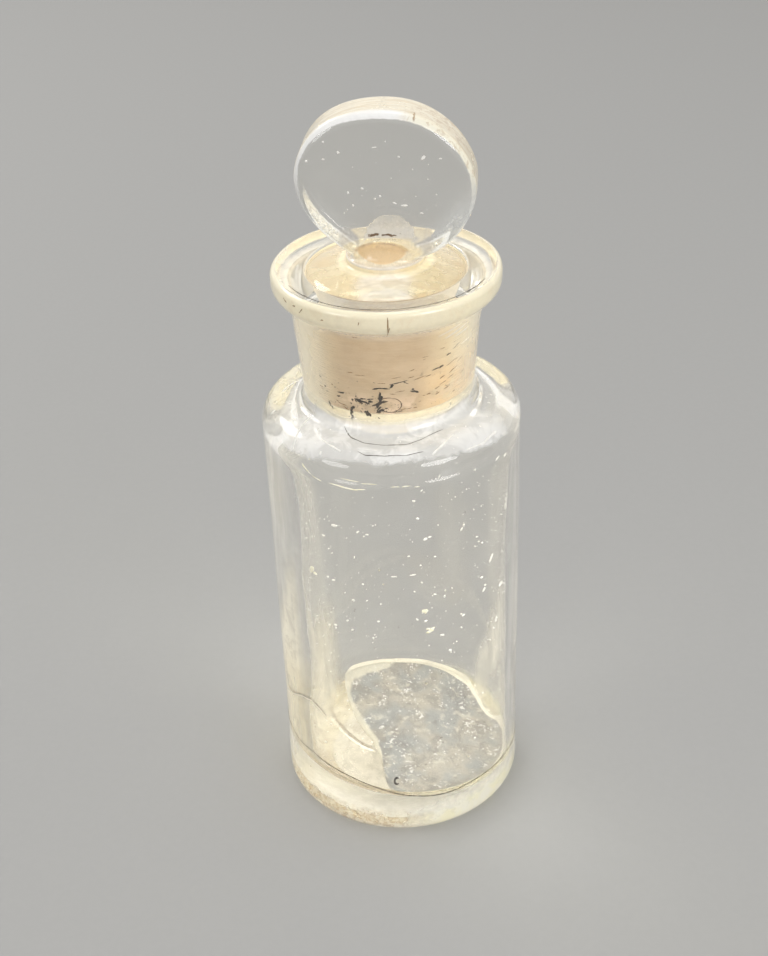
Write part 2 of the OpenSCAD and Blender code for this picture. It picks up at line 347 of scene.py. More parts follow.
def make_film(material):
    """Closed crust: rows from the middle to the tide mark on top, and back to the middle underneath. The edge
    is a smooth curve of direction against distance through the tide mark's points, with small tongues."""
    turns = 320
    x, y = (np.array(FILM_EDGE) - FILM_MIDDLE).T
    toward, far = np.arctan2(y, x), np.hypot(x, y)
    order = np.argsort(toward)
    around = np.linspace(-np.pi, np.pi, turns, endpoint=False)
    edge = np.interp(around, toward[order], far[order], period=2 * np.pi)
    soft = np.exp(-0.5 * (np.arange(-12, 13) / 4.0) ** 2)
    edge = np.convolve(np.concatenate([edge[-12:], edge, edge[:12]]), soft / soft.sum(), "valid")
    edge = edge + 0.16 * (waves(around, 0 * around, 21, (13, 22, 31, 7), (1, 1, 1, 1)) - 0.5)
    share = np.concatenate([np.linspace(0.02, 0.7, 34), np.linspace(0.71, 1, 40)])[:, None]
    plan_x = FILM_MIDDLE[0] + share * edge * np.cos(around)
    plan_y = FILM_MIDDLE[1] + share * edge * np.sin(around)
    crust = 0.05 + 0.05 * waves(2 * plan_x, 3 * plan_y, 22, (1, 2, 3), (4, 5, 7))
    ridge = 0.08 * np.exp(-((share - 0.975) / 0.015) ** 2)
    top = on_floor(plan_x, plan_y, 0.03 + (crust + ridge) * (1 - smooth(share, 0.985, 1)))
    under = on_floor(plan_x, plan_y, 0.012 + 0 * plan_x)
    film = skins("dried_film", np.concatenate([top, under[::-1]])[None], [material])
    places = np.zeros(len(film.data.vertices) * 3)
    film.data.vertices.foreach_get("co", places)
    places = places.reshape(-1, 3) / MM
    from_wall = np.hypot(places[:, 0] - HOLLOW_OFF, places[:, 1])
    climbed = places[:, 2] + places[:, 0] * FLOOR_SLOPE - FLOOR_Z - floor_lift(from_wall)
    out = np.hypot(*places[:, :2].T)
    wanted = out + np.where(from_wall > HOLLOW_R - 0.8, np.clip(climbed, 0, None) / CLIMB, 0)
    plan = places[:, :2] * (wanted / np.maximum(out, 0.01))[:, None] - FILM_MIDDLE
    reach = np.interp(np.arctan2(plan[:, 1], plan[:, 0]), around, edge, period=2 * np.pi)
    tide = film.data.attributes.new("tide", "FLOAT", "POINT")
    tide.data.foreach_set("value", (np.hypot(*plan.T) / reach).astype(np.float32))
    return film


# Stopper

def oval_half_width(height, shrink):
    """Half width of the disc's four-arc oval, drawn in by shrink, at a height above its middle: the side
    arc's reach up to the height at which the arcs meet, and the long arc's beyond it."""
    side_x = DISC_W / 2 - DISC_SIDE_R
    long_r = (side_x ** 2 + DISC_H ** 2 / 4 - DISC_SIDE_R ** 2) / (DISC_H - 2 * DISC_SIDE_R)
    long_z = long_r - DISC_H / 2
    meeting = (DISC_SIDE_R - shrink) * long_z / math.hypot(side_x, long_z)
    up = np.abs(height)
    side = side_x + np.sqrt(np.clip((DISC_SIDE_R - shrink) ** 2 - up ** 2, 0, None))
    far = np.sqrt(np.clip((long_r - shrink) ** 2 - (up + long_z) ** 2, 0, None))
    return np.where(up < meeting, side, far)


def disc_contour(height, rim=9, edge=9, face=30):
    """Level section of the disc, one row of points for each height. From the middle of the rim it runs along
    the rim, round the edge and across the face to the middle, and is mirrored to all four quarters."""
    flat = DISC_T / 2 - DISC_ROUND
    top = DISC_H / 2 - np.abs(height)[:, None]
    turn_end = np.arccos(np.clip(1 - top / DISC_ROUND, 0, 1))
    on_rim = np.linspace(0, 1, rim, endpoint=False)[None, :]
    on_edge = np.linspace(0, 1, edge, endpoint=False)[None, :]
    on_face = np.linspace(1, 0, face)[None, :]
    turn = turn_end * on_edge
    rim_x = oval_half_width(height, 0)[:, None]
    edge_x = oval_half_width(height[:, None], DISC_ROUND * (1 - np.cos(turn)))
    face_x = oval_half_width(height[:, None], DISC_ROUND * (1 - np.cos(turn_end)))
    x = np.hstack([rim_x + 0 * on_rim, edge_x, face_x * on_face])
    y = np.hstack([flat * on_rim + 0 * rim_x, flat + DISC_ROUND * np.sin(turn),
                   flat + DISC_ROUND * np.sin(turn_end) + 0 * on_face])
    x_half = np.hstack([x, -x[:, -2:0:-1]])
    y_half = np.hstack([y, y[:, -2:0:-1]])
    return np.hstack([x_half, -x_half]), np.hstack([y_half, -y_half])


def foot_radius(height):
    """Radius of the foot: the bead's round section, then the hollow curve up to the disc's faces."""
    bead = BEAD_MID_R + np.sqrt(np.clip(BEAD_ROUND ** 2 - (height - BEAD_Z) ** 2, 0, None))
    down = np.clip(FOOT_TOP_Z - height, 0, FOOT_CURVE_R)
    curve = DISC_T / 2 + FOOT_CURVE_R - np.sqrt(FOOT_CURVE_R ** 2 - down ** 2)
    return np.maximum(bead * (height < BEAD_Z + BEAD_ROUND), np.minimum(curve, BEAD_MID_R + BEAD_ROUND))


def larger(a, b, reach):
    """The larger of a and b, with the crossing rounded off over a difference of reach."""
    near = np.clip(1 - np.abs(a - b) / reach, 0, None)
    return np.maximum(a, b) + reach / 4 * near ** 2


def stopper_rings():
    """Rings of the stopper from the top of the disc down to its lower end. Above the dome a point lies in the
    direction of the disc's contour, at the larger of the contour's and the foot's radius."""
    disc_low = FOOT_TOP_Z - 2.2
    lowest = math.acos((DISC_Z - disc_low) / (DISC_H / 2))
    up = DISC_H / 2 * np.cos(np.linspace(0, np.pi - lowest, 96))
    bead = np.linspace(disc_low - DISC_Z, BEAD_Z - 0.2 - DISC_Z, 14)[1:]
    height = np.concatenate([up, bead])
    x, y = disc_contour(height)
    x = x - DISC_LEAN * height[:, None] * smooth(-x, -3, 7)
    tall = height[:, None] + DISC_Z
    reach = np.hypot(x, y)
    angle = np.arctan2(y, x)
    even = np.linspace(0, 2 * np.pi, x.shape[1], endpoint=False)[None, :]
    angle = np.unwrap(angle, axis=1)
    free = smooth(tall, BEAD_Z - 0.1, BEAD_Z + 1.2)
    angle = even + (angle - even) * free
    fade = 1 - smooth(tall, FOOT_TOP_Z - 0.6, FOOT_TOP_Z + 2.2)
    foot = foot_radius(tall) * fade
    radius = np.where(fade > 0, larger(reach, foot, 1.1), reach)
    radius = foot_radius(tall) + (radius - foot_radius(tall)) * free
    off = DISC_OFF * smooth(tall, BEAD_Z, BEAD_Z + 2.5)
    disc = np.stack(np.broadcast_arrays(
        off + radius * np.cos(angle + DISC_TURN), radius * np.sin(angle + DISC_TURN), tall), axis=-1)
    plug = plug_path()
    spread = even + DISC_TURN
    lower = np.stack(np.broadcast_arrays(
        plug[:, :1] * np.cos(spread), plug[:, :1] * np.sin(spread), plug[:, 1:]), axis=-1)
    return np.concatenate([disc, lower])


def plug_path():
    """Half profile of the plug, from the bead's root over the dome and down the ground cone to its end."""
    sphere_r = (DOME_R ** 2 + DOME_H ** 2) / (2 * DOME_H)
    across = np.linspace(BEAD_MID_R + BEAD_ROUND, DOME_R, 12)
    dome = np.stack([across, DOME_LOW_Z + DOME_H - sphere_r + np.sqrt(sphere_r ** 2 - across ** 2)], axis=-1)
    top_r = THROAT_R - JOINT_GAP + TAPER * (GROUND_TOP_Z - GROUND_LOW_Z)
    low_r = THROAT_R - JOINT_GAP
    end_z = GROUND_LOW_Z - PLUG_END_STEP
    corners = [tuple(dome[-1]), (top_r, GROUND_TOP_Z), (low_r, GROUND_LOW_Z), (PLUG_END_R, end_z),
               (PLUG_END_R, PLUG_LOW_Z), (0.5, PLUG_LOW_Z)]
    low = refined(rounded_path(corners, [0.15, 0.12, 0.12, PLUG_END_ROUND], 8), 0.6)
    return np.vstack([dome[:-1], low])


def make_stopper(material):
    """Closed skin of the stopper, one piece of pressed glass with a ground cone."""
    return skins("stopper_glass", stopper_rings()[None], [material])


# Flakes, dust and marks

def bore_point(along, height, out):
    """A point in the ground bore, along millimetres round it from its front and out into the glass."""
    radius = THROAT_R + TAPER * np.clip(height - GROUND_LOW_Z, 0, None)
    return ring_points(radius + out, along / THROAT_R, height)


def cone_point(along, height, out):
    """A point on the plug's ground cone, along millimetres round it from its front and out from the glass."""
    return bore_point(along, height, out - JOINT_GAP)


def wall_point(along, height, out):
    """A point on the inner wall of the body, along millimetres round it from its front."""
    return inside_point(HOLLOW_R - out, along / HOLLOW_R, height)


def neck_point(along, height, out):
    """A point on the neck's outside, along millimetres round it from its front."""
    share = (height - NECK_ROOT[1]) / (NECK_TOP[1] - NECK_ROOT[1])
    radius = NECK_ROOT[0] + (NECK_TOP[0] - NECK_ROOT[0]) * share
    return outside_point(radius + out, along / NECK_TOP[0], height)


def heel_point(degrees, height, out):
    """A point on the body's outside, by degrees round it from its front."""
    return outside_point(BODY_R + out, np.radians(degrees), height)


def lip_point(along, height, out):
    """A point on the lip's rim, along millimetres round it from its front."""
    return outside_point(LIP_R + out, along / LIP_R, height)


def disc_face_point(along, height, out):
    """A point on the disc's front face, along and height millimetres from its middle."""
    depth = DISC_T / 2 + out
    return np.stack(np.broadcast_arrays(
        DISC_OFF + along * math.cos(DISC_TURN) + depth * math.sin(DISC_TURN),
        along * math.sin(DISC_TURN) - depth * math.cos(DISC_TURN), DISC_Z + height), axis=-1)


def chips(name, places, surface_point, material, thickness, seed, lift=0.0, ragged=0.3, turns=14):
    """Thin closed flakes on a surface. Each row of places gives along, height, length, width and tilt in
    degrees. A flake is an ellipse whose radius swings by up to ragged, domed as the root of 1 less share
    squared, and laid on the surface by its point function."""
    along, height, length, width, tilt = np.array(places, float).T[:, :, None, None]
    draw = np.random.default_rng(seed)
    starts = draw.uniform(0, 2 * np.pi, (3, len(places), 1, 1))
    around = np.linspace(0, 2 * np.pi, turns, endpoint=False)[None, None, :]
    uneven = 1 + ragged * (0.5 * np.sin(2 * around + starts[0]) + 0.3 * np.sin(3 * around + starts[1])
                           + 0.3 * np.sin(5 * around + starts[2]))
    share = np.array([0.3, 0.75, 0.97, 1.0, 0.97, 0.75, 0.3])[None, :, None]
    side = np.array([1, 1, 1, 0, -1, -1, -1])[None, :, None]
    lengthwise = share * uneven * length / 2 * np.cos(around)
    crosswise = share * uneven * width / 2 * np.sin(around)
    turn = np.radians(tilt)
    out = lift + thickness / 2 * (1 + side * np.sqrt(1 - 0.94 * share ** 2))
    points = surface_point(along + lengthwise * np.cos(turn) - crosswise * np.sin(turn),
                           height + lengthwise * np.sin(turn) + crosswise * np.cos(turn), out)
    return skins(name, points, [material])


def on_profile(path, x, y, out):
    """Points at places in plan on a stretch of the outside profile that runs inwards, raised by out."""
    radius, around = np.hypot(x, y), np.arctan2(x, -y)
    height = np.interp(-radius, -path[:, 0], path[:, 1])
    return outside_point(radius, around, height) + (0, 0, 1) * out[..., None]


def deck_point(x, y, out):
    """A point on the deck from its place in plan."""
    path = outside_path()
    return on_profile(path[(path[:, 1] > DECK_UNDER_Z) & (path[:, 1] < NECK_ROOT[1] + 1)], x, y, out)


def lip_top_point(x, y, out):
    """A point on the lip's top from its place in plan."""
    path = outside_path()
    top = path[path[:, 1] > LIP_TOP_Z - 0.9]
    return on_profile(top[np.concatenate([[True], np.diff(top[:, 0]) < 0])], x, y, out)


def trail(name, course, surface_point, width, thickness, material, seed, closeness=240):
    """A thin closed thread along a course of places on a surface: a flat oval section carried along the
    course's smooth curve, with a width that swings by sine waves and shrinks to nothing at the ends."""
    course = np.array(course, float)
    steps = np.concatenate([[0], np.cumsum(np.hypot(*np.diff(course, axis=0).T))])
    even = np.linspace(0, steps[-1], closeness)
    line = np.stack([np.interp(even, steps, course[:, 0]), np.interp(even, steps, course[:, 1])])
    soft = np.exp(-0.5 * (np.arange(-9, 10) / 4.0) ** 2)
    padded = np.concatenate([np.repeat(line[:, :1], 9, 1), line, np.repeat(line[:, -1:], 9, 1)], axis=1)
    line = np.stack([np.convolve(row, soft / soft.sum(), "valid") for row in padded])
    ahead = np.gradient(line, axis=1)
    ahead = ahead / np.hypot(*ahead)
    starts = np.random.default_rng(seed).uniform(0, 2 * np.pi, 3)
    swing = sum(np.sin(even * pace + start) for pace, start in zip((0.9, 2.3, 5.1), starts)) / 3
    share = even / steps[-1]
    half = width / 2 * (1 + 0.45 * swing) * np.sqrt(np.clip(4 * share * (1 - share), 0.0004, 0.25) / 0.25)
    around = np.linspace(0, 2 * np.pi, 8, endpoint=False)[None, :]
    aside = half[:, None] * np.cos(around)
    out = 0.006 + thickness / 2 * (1 + np.sin(around)) + 0 * aside
    points = surface_point(line[0][:, None] - ahead[1][:, None] * aside,
                           line[1][:, None] + ahead[0][:, None] * aside, out)
    return skins(name, points[None], [material])


def make_crumb(material):
    """A small curled crumb that leans on the floor: a round section carried along three quarters of a circle,
    with its radius shrinking to the ends as the root of the sine, and the circle tilted by its slope in y."""
    middle_x, middle_y, curl, thick, lean = -1.05, -10.1, 0.31, 0.135, 0.9
    along = np.linspace(0.02, 0.98, 28)[:, None]
    turn = along * 1.5 * np.pi + 0.25 * np.pi
    around = np.linspace(0, 2 * np.pi, 12, endpoint=False)[None, :]
    section = thick * np.sqrt(np.sin(np.pi * along))
    reach = curl + section * np.cos(around)
    x = middle_x + reach * np.cos(turn)
    y = middle_y + reach * np.sin(turn)
    floor = on_floor(np.array(middle_x), np.array(middle_y), 0.15)[2]
    z = floor + thick + lean * (y - middle_y + curl) + section * np.sin(around)
    return skins("floor_crumb", np.stack([x, y, z], axis=-1)[None], [material])


def scattered(count, seed, low, high, sizes, slim=(0.4, 1.0)):
    """Random places for chips between two corners (along, height). Lengths follow the cube of a random share,
    so that small ones are the most common, and each has its own width and tilt."""
    draw = np.random.default_rng(seed)
    length = sizes[0] + (sizes[1] - sizes[0]) * draw.uniform(0, 1, count) ** 3
    return np.column_stack([
        draw.uniform(low[0], high[0], count), draw.uniform(low[1], high[1], count), length,
        length * draw.uniform(*slim, count), draw.uniform(-90, 90, count)])


def dust_in_ring(count, seed, inner, outer):
    """Random places in plan for grains round the bottle, between two distances from its axis. Their size
    follows the square of a random share, and each is 0.7 times as wide as it is long."""
    draw = np.random.default_rng(seed)
    turn, reach = draw.uniform(-np.pi, np.pi, count), draw.uniform(inner, outer, count)
    size = 0.06 + 0.16 * draw.uniform(0, 1, count) ** 2
    return np.column_stack([reach * np.sin(turn), -reach * np.cos(turn), size, size * 0.7,
                            90 * draw.uniform(-1, 1, count)])


def front_arc(radius, low, high):
    """Sixty places in plan on a circle round the axis, between two directions in degrees from the front."""
    turn = np.radians(np.linspace(low, high, 60))
    return radius * np.column_stack([np.sin(turn), -np.cos(turn)])


# Along the cone and height, then length, width and tilt: the flakes that stand out in the dried joint
JOINT_FLAKES = (
    (-4.3, 61.75, 0.75, 0.42, 70), (-4.45, 61.15, 0.8, 0.34, 95), (-4.35, 60.6, 0.45, 0.3, 60),
    (-4.45, 60.2, 0.5, 0.3, 80), (-3.45, 63.0, 0.9, 0.42, -8), (-2.75, 62.85, 0.8, 0.34, -14),
    (-2.2, 63.0, 0.7, 0.25, 8), (-3.0, 63.3, 0.7, 0.16, 12), (-2.2, 63.35, 0.6, 0.18, 10),
    (-1.15, 63.9, 1.1, 0.22, 88), (-1.2, 63.0, 1.5, 0.5, 70), (-0.85, 63.0, 0.9, 0.35, 12),
    (-1.6, 62.65, 0.8, 0.28, 25), (-1.3, 62.1, 0.6, 0.25, 60), (-1.25, 61.75, 0.8, 0.36, 25),
    (-0.9, 61.9, 0.5, 0.24, 30), (-2.5, 61.25, 0.95, 0.42, -58), (-2.75, 61.5, 0.4, 0.22, 0),
    (-7.3, 61.45, 0.7, 0.24, -60), (-6.95, 61.05, 0.35, 0.18, -60), (-5.5, 63.6, 0.7, 0.25, 15),
    (-5.9, 63.0, 0.4, 0.24, 0), (-1.5, 64.85, 0.8, 0.2, 4), (-0.75, 64.9, 1.1, 0.22, -3),
    (0.15, 65.2, 0.6, 0.28, 40), (0.4, 65.5, 0.9, 0.13, 14), (1.2, 65.7, 1.0, 0.12, 10),
    (1.6, 65.5, 0.5, 0.1, -30), (2.55, 64.15, 0.75, 0.34, -20), (2.35, 64.5, 0.3, 0.24, 30),
    (4.9, 66.55, 1.1, 0.12, 6), (5.55, 66.6, 0.8, 0.2, 12), (6.5, 67.9, 0.5, 0.22, 10),
    (7.6, 68.6, 0.8, 0.1, 28), (-8.3, 64.8, 0.35, 0.2, 0), (-7.7, 63.7, 0.3, 0.2, 0))

# The same for its brown marks
JOINT_STAINS = (
    (4.1, 63.4, 0.6, 0.14, 5), (7.6, 62.4, 0.5, 0.12, 10), (5.2, 63.1, 0.5, 0.14, 15),
    (6.4, 63.4, 0.9, 0.1, 14), (5.9, 64.3, 0.8, 0.1, 14), (7.0, 64.7, 0.9, 0.1, 16),
    (7.6, 65.6, 0.8, 0.1, 18), (6.9, 66.6, 1.2, 0.1, 18), (8.3, 66.4, 0.9, 0.1, 20),
    (8.9, 64.4, 0.8, 0.1, 18), (3.1, 65.9, 1.6, 0.1, 12), (4.0, 65.9, 0.9, 0.08, 12),
    (1.3, 61.9, 0.6, 0.12, 10), (1.9, 61.9, 0.4, 0.12, 0), (2.6, 61.9, 0.5, 0.1, 0),
    (-3.4, 71.6, 0.5, 0.16, -5), (-5.5, 62.0, 0.9, 0.14, -8), (-5.0, 61.5, 0.7, 0.14, -20),
    (-4.2, 66.7, 0.6, 0.12, 0), (-3.2, 66.5, 1.0, 0.08, 4), (1.0, 64.4, 1.0, 0.08, 8),
    (0.2, 64.1, 0.7, 0.08, -5), (-0.9, 65.6, 0.7, 0.08, 4), (0.6, 66.3, 1.0, 0.07, 10))

# Places along the cone and height on a small brown ring in the joint
JOINT_RING = (
    (-1.3, 63.1), (-0.75, 63.55), (-0.1, 63.6), (0.6, 63.4), (1.05, 62.95), (1.15, 62.4), (0.85, 61.9),
    (0.25, 61.6), (-0.5, 61.6), (-1.1, 61.9))

# Pale scratches on the right of the neck, as along, height, length, width and tilt
NECK_SCRATCHES = (
    (7.7, 71.75, 3.6, 0.12, 10), (8.7, 71.25, 3.4, 0.18, 12), (9.8, 70.75, 3.0, 0.12, 8),
    (10.7, 69.1, 2.0, 0.08, 6))

# Along the wall and height, then length, width and tilt: the bright grains that stand out on the body
WALL_GRAINS = (
    (-7.9, 47.9, 0.95, 0.35, 5), (1.6, 52.2, 0.35, 0.3, 0), (1.95, 49.7, 0.45, 0.25, -30),
    (2.8, 46.6, 0.6, 0.3, 20), (3.3, 46.8, 0.4, 0.2, 0), (7.4, 46.7, 0.5, 0.2, 50),
    (7.7, 47.2, 0.35, 0.2, 50), (9.3, 54.4, 0.4, 0.3, 0), (12.1, 40.1, 1.1, 0.25, 55),
    (15.6, 46.8, 0.5, 0.2, 80), (15.5, 45.9, 0.9, 0.22, 80), (-8.5, 39.6, 0.5, 0.25, 10),
    (-9.3, 39.8, 0.35, 0.2, 0), (-6.0, 37.3, 0.4, 0.3, 0), (5.6, 28.9, 0.5, 0.35, -45),
    (10.4, 38.1, 0.4, 0.25, 0), (14.3, 34.8, 0.9, 0.2, 30), (10.8, 36.0, 0.6, 0.25, 45),
    (11.0, 36.6, 0.35, 0.2, 0), (7.5, 33.7, 0.5, 0.25, 30), (7.2, 34.0, 0.3, 0.2, 0),
    (-8.6, 32.6, 0.35, 0.3, 0), (-6.3, 32.6, 0.3, 0.3, 0), (-6.9, 33.9, 0.4, 0.2, 20),
    (-3.7, 31.9, 0.3, 0.3, 0), (-3.0, 34.6, 0.3, 0.3, 0), (1.6, 34.8, 0.4, 0.25, -40),
    (2.6, 34.4, 0.4, 0.3, 0), (4.6, 31.7, 0.5, 0.2, -20), (7.2, 31.9, 0.3, 0.2, 0),
    (13.0, 29.8, 0.5, 0.2, 60), (0.8, 44.4, 0.3, 0.2, 0), (3.9, 43.8, 0.3, 0.2, 0),
    (9.6, 44.6, 0.35, 0.2, 0), (-9.5, 45.9, 0.3, 0.2, 0), (-3.9, 47.5, 0.35, 0.2, 0),
    (-5.0, 47.7, 0.4, 0.2, 40), (4.6, 55.0, 0.6, 0.2, 75), (14.9, 53.7, 0.5, 0.2, 35),
    (13.1, 54.2, 0.9, 0.18, 30), (3.8, 38.2, 0.35, 0.2, 0), (10.5, 43.3, 0.3, 0.2, 0),
    (1.2, 41.6, 0.9, 0.08, 5), (-1.0, 41.5, 0.6, 0.08, 0))

# The same for the golden flecks
GOLD_FLECKS = (
    (2.55, 35.9, 0.8, 0.6, 40), (3.2, 32.8, 1.1, 0.55, 25), (2.9, 33.1, 0.5, 0.3, -30),
    (-11.8, 39.8, 1.2, 0.5, 60), (-11.3, 39.4, 0.5, 0.3, 0))

# The same for the broken line under the shoulder
SHOULDER_LINE = (
    (-11.3, 54.7, 1.9, 0.18, -32), (-9.8, 54.0, 1.5, 0.14, -14), (-6.4, 53.8, 3.2, 0.24, -4),
    (-4.6, 53.8, 1.4, 0.18, 8), (-5.6, 54.9, 2.2, 0.12, -4), (-3.4, 54.7, 1.6, 0.12, 2),
    (-0.5, 54.4, 0.9, 0.13, 0), (0.7, 54.4, 1.1, 0.16, 2), (2.0, 54.2, 0.6, 0.14, 0))

# Places in plan of the slanting line on the floor and of the pale ridge beside it
FLOOR_SLANT = ((-12.6, 4.0), (-11.7, 2.9), (-9.2, 0.2), (-7.4, -1.4), (-6.1, -2.5), (-4.8, -3.3))
FLOOR_RIDGE = ((-12.0, 2.4), (-11.2, 1.7), (-9.3, -0.4), (-7.5, -1.95), (-6.1, -3.05), (-4.3, -4.1))

# Places in plan of the two dark lines on the deck, at the neck's root and in front of it
DECK_LINES = (
    ((-5.6, -9.26), (-4.82, -11.02), (-3.27, -12.25), (-0.97, -12.78), (1.72, -12.85), (3.28, -12.03),
     (4.69, -10.9), (6.1, -9.9)),
    ((-4.1, -13.5), (-3.2, -14.15), (-1.0, -14.5), (1.6, -14.5), (3.65, -13.9)))

# The same for the pale threads painted on it as highlights
DECK_PAINTED_HIGHLIGHTS = (
    ((-11.7, -10.4), (-11.0, -8.4), (-10.3, -6.9), (-9.6, -5.8)), ((4.5, -14.2), (5.7, -12.95), (7.2, -10.9)),
    ((-13.4, 0.6), (-12.9, 2.0), (-12.0, 3.0), (-11.0, 3.4)), ((8.6, -12.7), (10.6, -11.2), (12.4, -8.8)),
    ((-8.2, -10.8), (-7.4, -11.9), (-6.0, -13.2)))

# Along the bore and height: the dark lines at the low edge of the dried joint, left and right
BORE_LINES = (((-7.9, 60.3), (-7.0, 59.85), (-6.0, 59.7), (-5.2, 59.65)),
              ((3.6, 59.5), (5.3, 59.6), (6.9, 59.65), (8.9, 59.75), (10.7, 59.8)))

# Degrees round the foot and height of a painted shade line: a dark thread where the thick floor begins to
# show through
HEEL_SHADE_LINE = (
    (-108, 9.3), (-100, 9.6), (-72, 9.6), (-62.6, 9.6), (-48.7, 9.95), (-36.9, 9.4), (-25.6, 8.9),
    (-12.9, 7.9), (-0.9, 6.85), (13.8, 6.1), (24.2, 6.0), (39.2, 6.3), (60.4, 6.1), (73.8, 5.5),
    (88, 5.4), (98, 5.6))

# The same for the crack above it on the left
HEEL_CRACK = ((-76, 8.4), (-66, 8.3), (-46.7, 8.5), (-31, 8.1), (-20.6, 7.7), (-9, 6.9))

# The same for a slanting edge low on the left of the wall
WALL_SLANT = ((-74, 16.9), (-66.1, 17.33), (-55.1, 19.07), (-47.2, 19.63), (-40.9, 18.83), (-37.5, 18.0))

# Place in plan, then length, width and tilt: the grains that stand out on the deck
DECK_GRAINS = (
    (12.2, -2.0, 0.35, 0.3, 0), (11.8, -3.9, 0.45, 0.2, 0), (-12.3, -2.4, 0.4, 0.25, 20),
    (-11.6, -6.2, 0.5, 0.3, 40), (-14.3, -3.2, 0.6, 0.25, 30), (-8.4, -12.6, 0.35, 0.3, 0),
    (10.4, -9.0, 0.3, 0.25, 0))

# Along the disc's face and height from its middle, then length, width and tilt
DISC_GRAINS = (
    (-5.0, 4.7, 0.35, 0.3, 0), (-6.6, 5.9, 0.25, 0.2, 0), (-8.6, 3.7, 0.35, 0.25, 0),
    (-6.7, 3.9, 0.4, 0.16, 0), (1.7, 4.2, 0.25, 0.22, 0), (4.4, 4.1, 0.75, 0.3, 45),
    (6.3, 4.0, 0.4, 0.16, 0), (-0.95, 5.3, 0.6, 0.1, 8), (-2.5, 0.5, 0.3, 0.25, 0),
    (-4.1, 0.0, 0.3, 0.3, 0), (-0.5, -0.4, 0.28, 0.25, 0), (-1.1, -0.7, 0.22, 0.2, 0),
    (-3.6, -1.5, 0.3, 0.2, 0), (1.1, -1.2, 0.5, 0.15, -20), (2.2, -1.5, 0.8, 0.22, -4),
    (4.1, -2.4, 0.4, 0.16, 0))

# Along the lip's rim and height, then length, width and tilt: cracks and stains
LIP_MARKS = (
    (-0.05, 75.0, 1.9, 0.14, 87), (0.0, 74.2, 0.9, 0.1, 70), (-10.9, 75.1, 0.8, 0.14, 50),
    (-3.3, 75.1, 0.5, 0.1, 80), (-7.8, 74.8, 0.4, 0.16, 0), (-14.0, 75.3, 0.7, 0.2, -30),
    (-12.1, 75.3, 0.6, 0.15, 20))

# Finishes

# Paints as red, green and blue: the glass's own haze, the residues on it, and painted highlights, sheens and
# light
CLEAR_SHADOW = (0.95, 0.95, 0.94)
SHEEN = (1.0, 0.97, 0.90)
WHITE_HAZE = (0.99, 0.985, 0.97)
CREAM_HAZE = (0.98, 0.945, 0.85)
FLOOR_RESIDUE = (0.90, 0.84, 0.70)
WALL_RESIDUE = (1.0, 0.95, 0.80)
SMUDGE = (0.64, 0.58, 0.48)
HEEL_CREAM = (1.0, 0.97, 0.83)
RING_CREAM = (0.95, 0.90, 0.75)
HEEL_TAN = (0.80, 0.68, 0.50)
HEEL_SPECKLE = (0.52, 0.40, 0.27)
RIM_CREAM = (1.0, 0.925, 0.70)
STRAW = (1.0, 0.95, 0.68)
KICK_SHADE = (0.30, 0.26, 0.20)
RIM_TAN = (0.90, 0.77, 0.55)
BORE_FILM = ((0.66, 0.545, 0.42), (0.56, 0.44, 0.31))
BORE_SIDE_PAINTED_LIGHT = (0.97, 0.89, 0.70)
BORE_WARM = (0.97, 0.76, 0.50)
BORE_BLUSH = (0.95, 0.78, 0.66)
BORE_STAIN = (0.50, 0.34, 0.20)
COLLAR_CREAM = (0.97, 0.89, 0.69)
DOME_STRAW = (0.97, 0.88, 0.63)
DOME_TAN = (0.94, 0.79, 0.51)
DOME_PAINTED_HIGHLIGHT = (0.97, 0.94, 0.86)
EDGE_CREAM = (1.0, 0.96, 0.80)
BAND_LAYERS = ((0.98, 0.92, 0.76), (0.85, 0.74, 0.55))
EDGE_STAIN = (0.55, 0.41, 0.26)
CRACK = (0.40, 0.27, 0.15)
PAINTED_SILVER_SHEEN = (0.93, 0.95, 0.94)
PAINTED_GREY_SHEEN = (0.74, 0.715, 0.67)
HALO = (1.0, 0.93, 0.74)
SCUFF = (0.77, 0.74, 0.68)
SEAM = (0.16, 0.10, 0.06)
EYE = (0.82, 0.61, 0.36)
EYE_BROW = (0.56, 0.38, 0.22)
CONE_FILM = ((0.86, 0.78, 0.67), (0.78, 0.69, 0.57))
CONE_STAIN = (0.62, 0.48, 0.34)
CRUST_CLOUDS = ((0.38, 0.385, 0.375), (0.52, 0.485, 0.415))
CRUST_SPOT = (0.28, 0.265, 0.25)
CRUST_LUMP = (0.76, 0.73, 0.63)
CRUST_GRAIN = (0.95, 0.94, 0.91)
CRUST_PIT = (0.15, 0.14, 0.12)
CRUST_EDGE = (0.88, 0.84, 0.70)
CRUST_TIDE = (0.97, 0.93, 0.80)

GLASS_IOR = 1.5
GLASS_TINT = ((1.0, 0.966, 0.82), 20.0)     # colour and density of the tint in the glass's depth
GLASS_SHEEN = (0.22, 0.40)                  # weight and roughness of the dull film's sheen
HAZE_LIMIT = 0.88                           # most of the glass's light that a haze may scatter
BORE_HAZE = 0.32
CONE_HAZE = 0.80


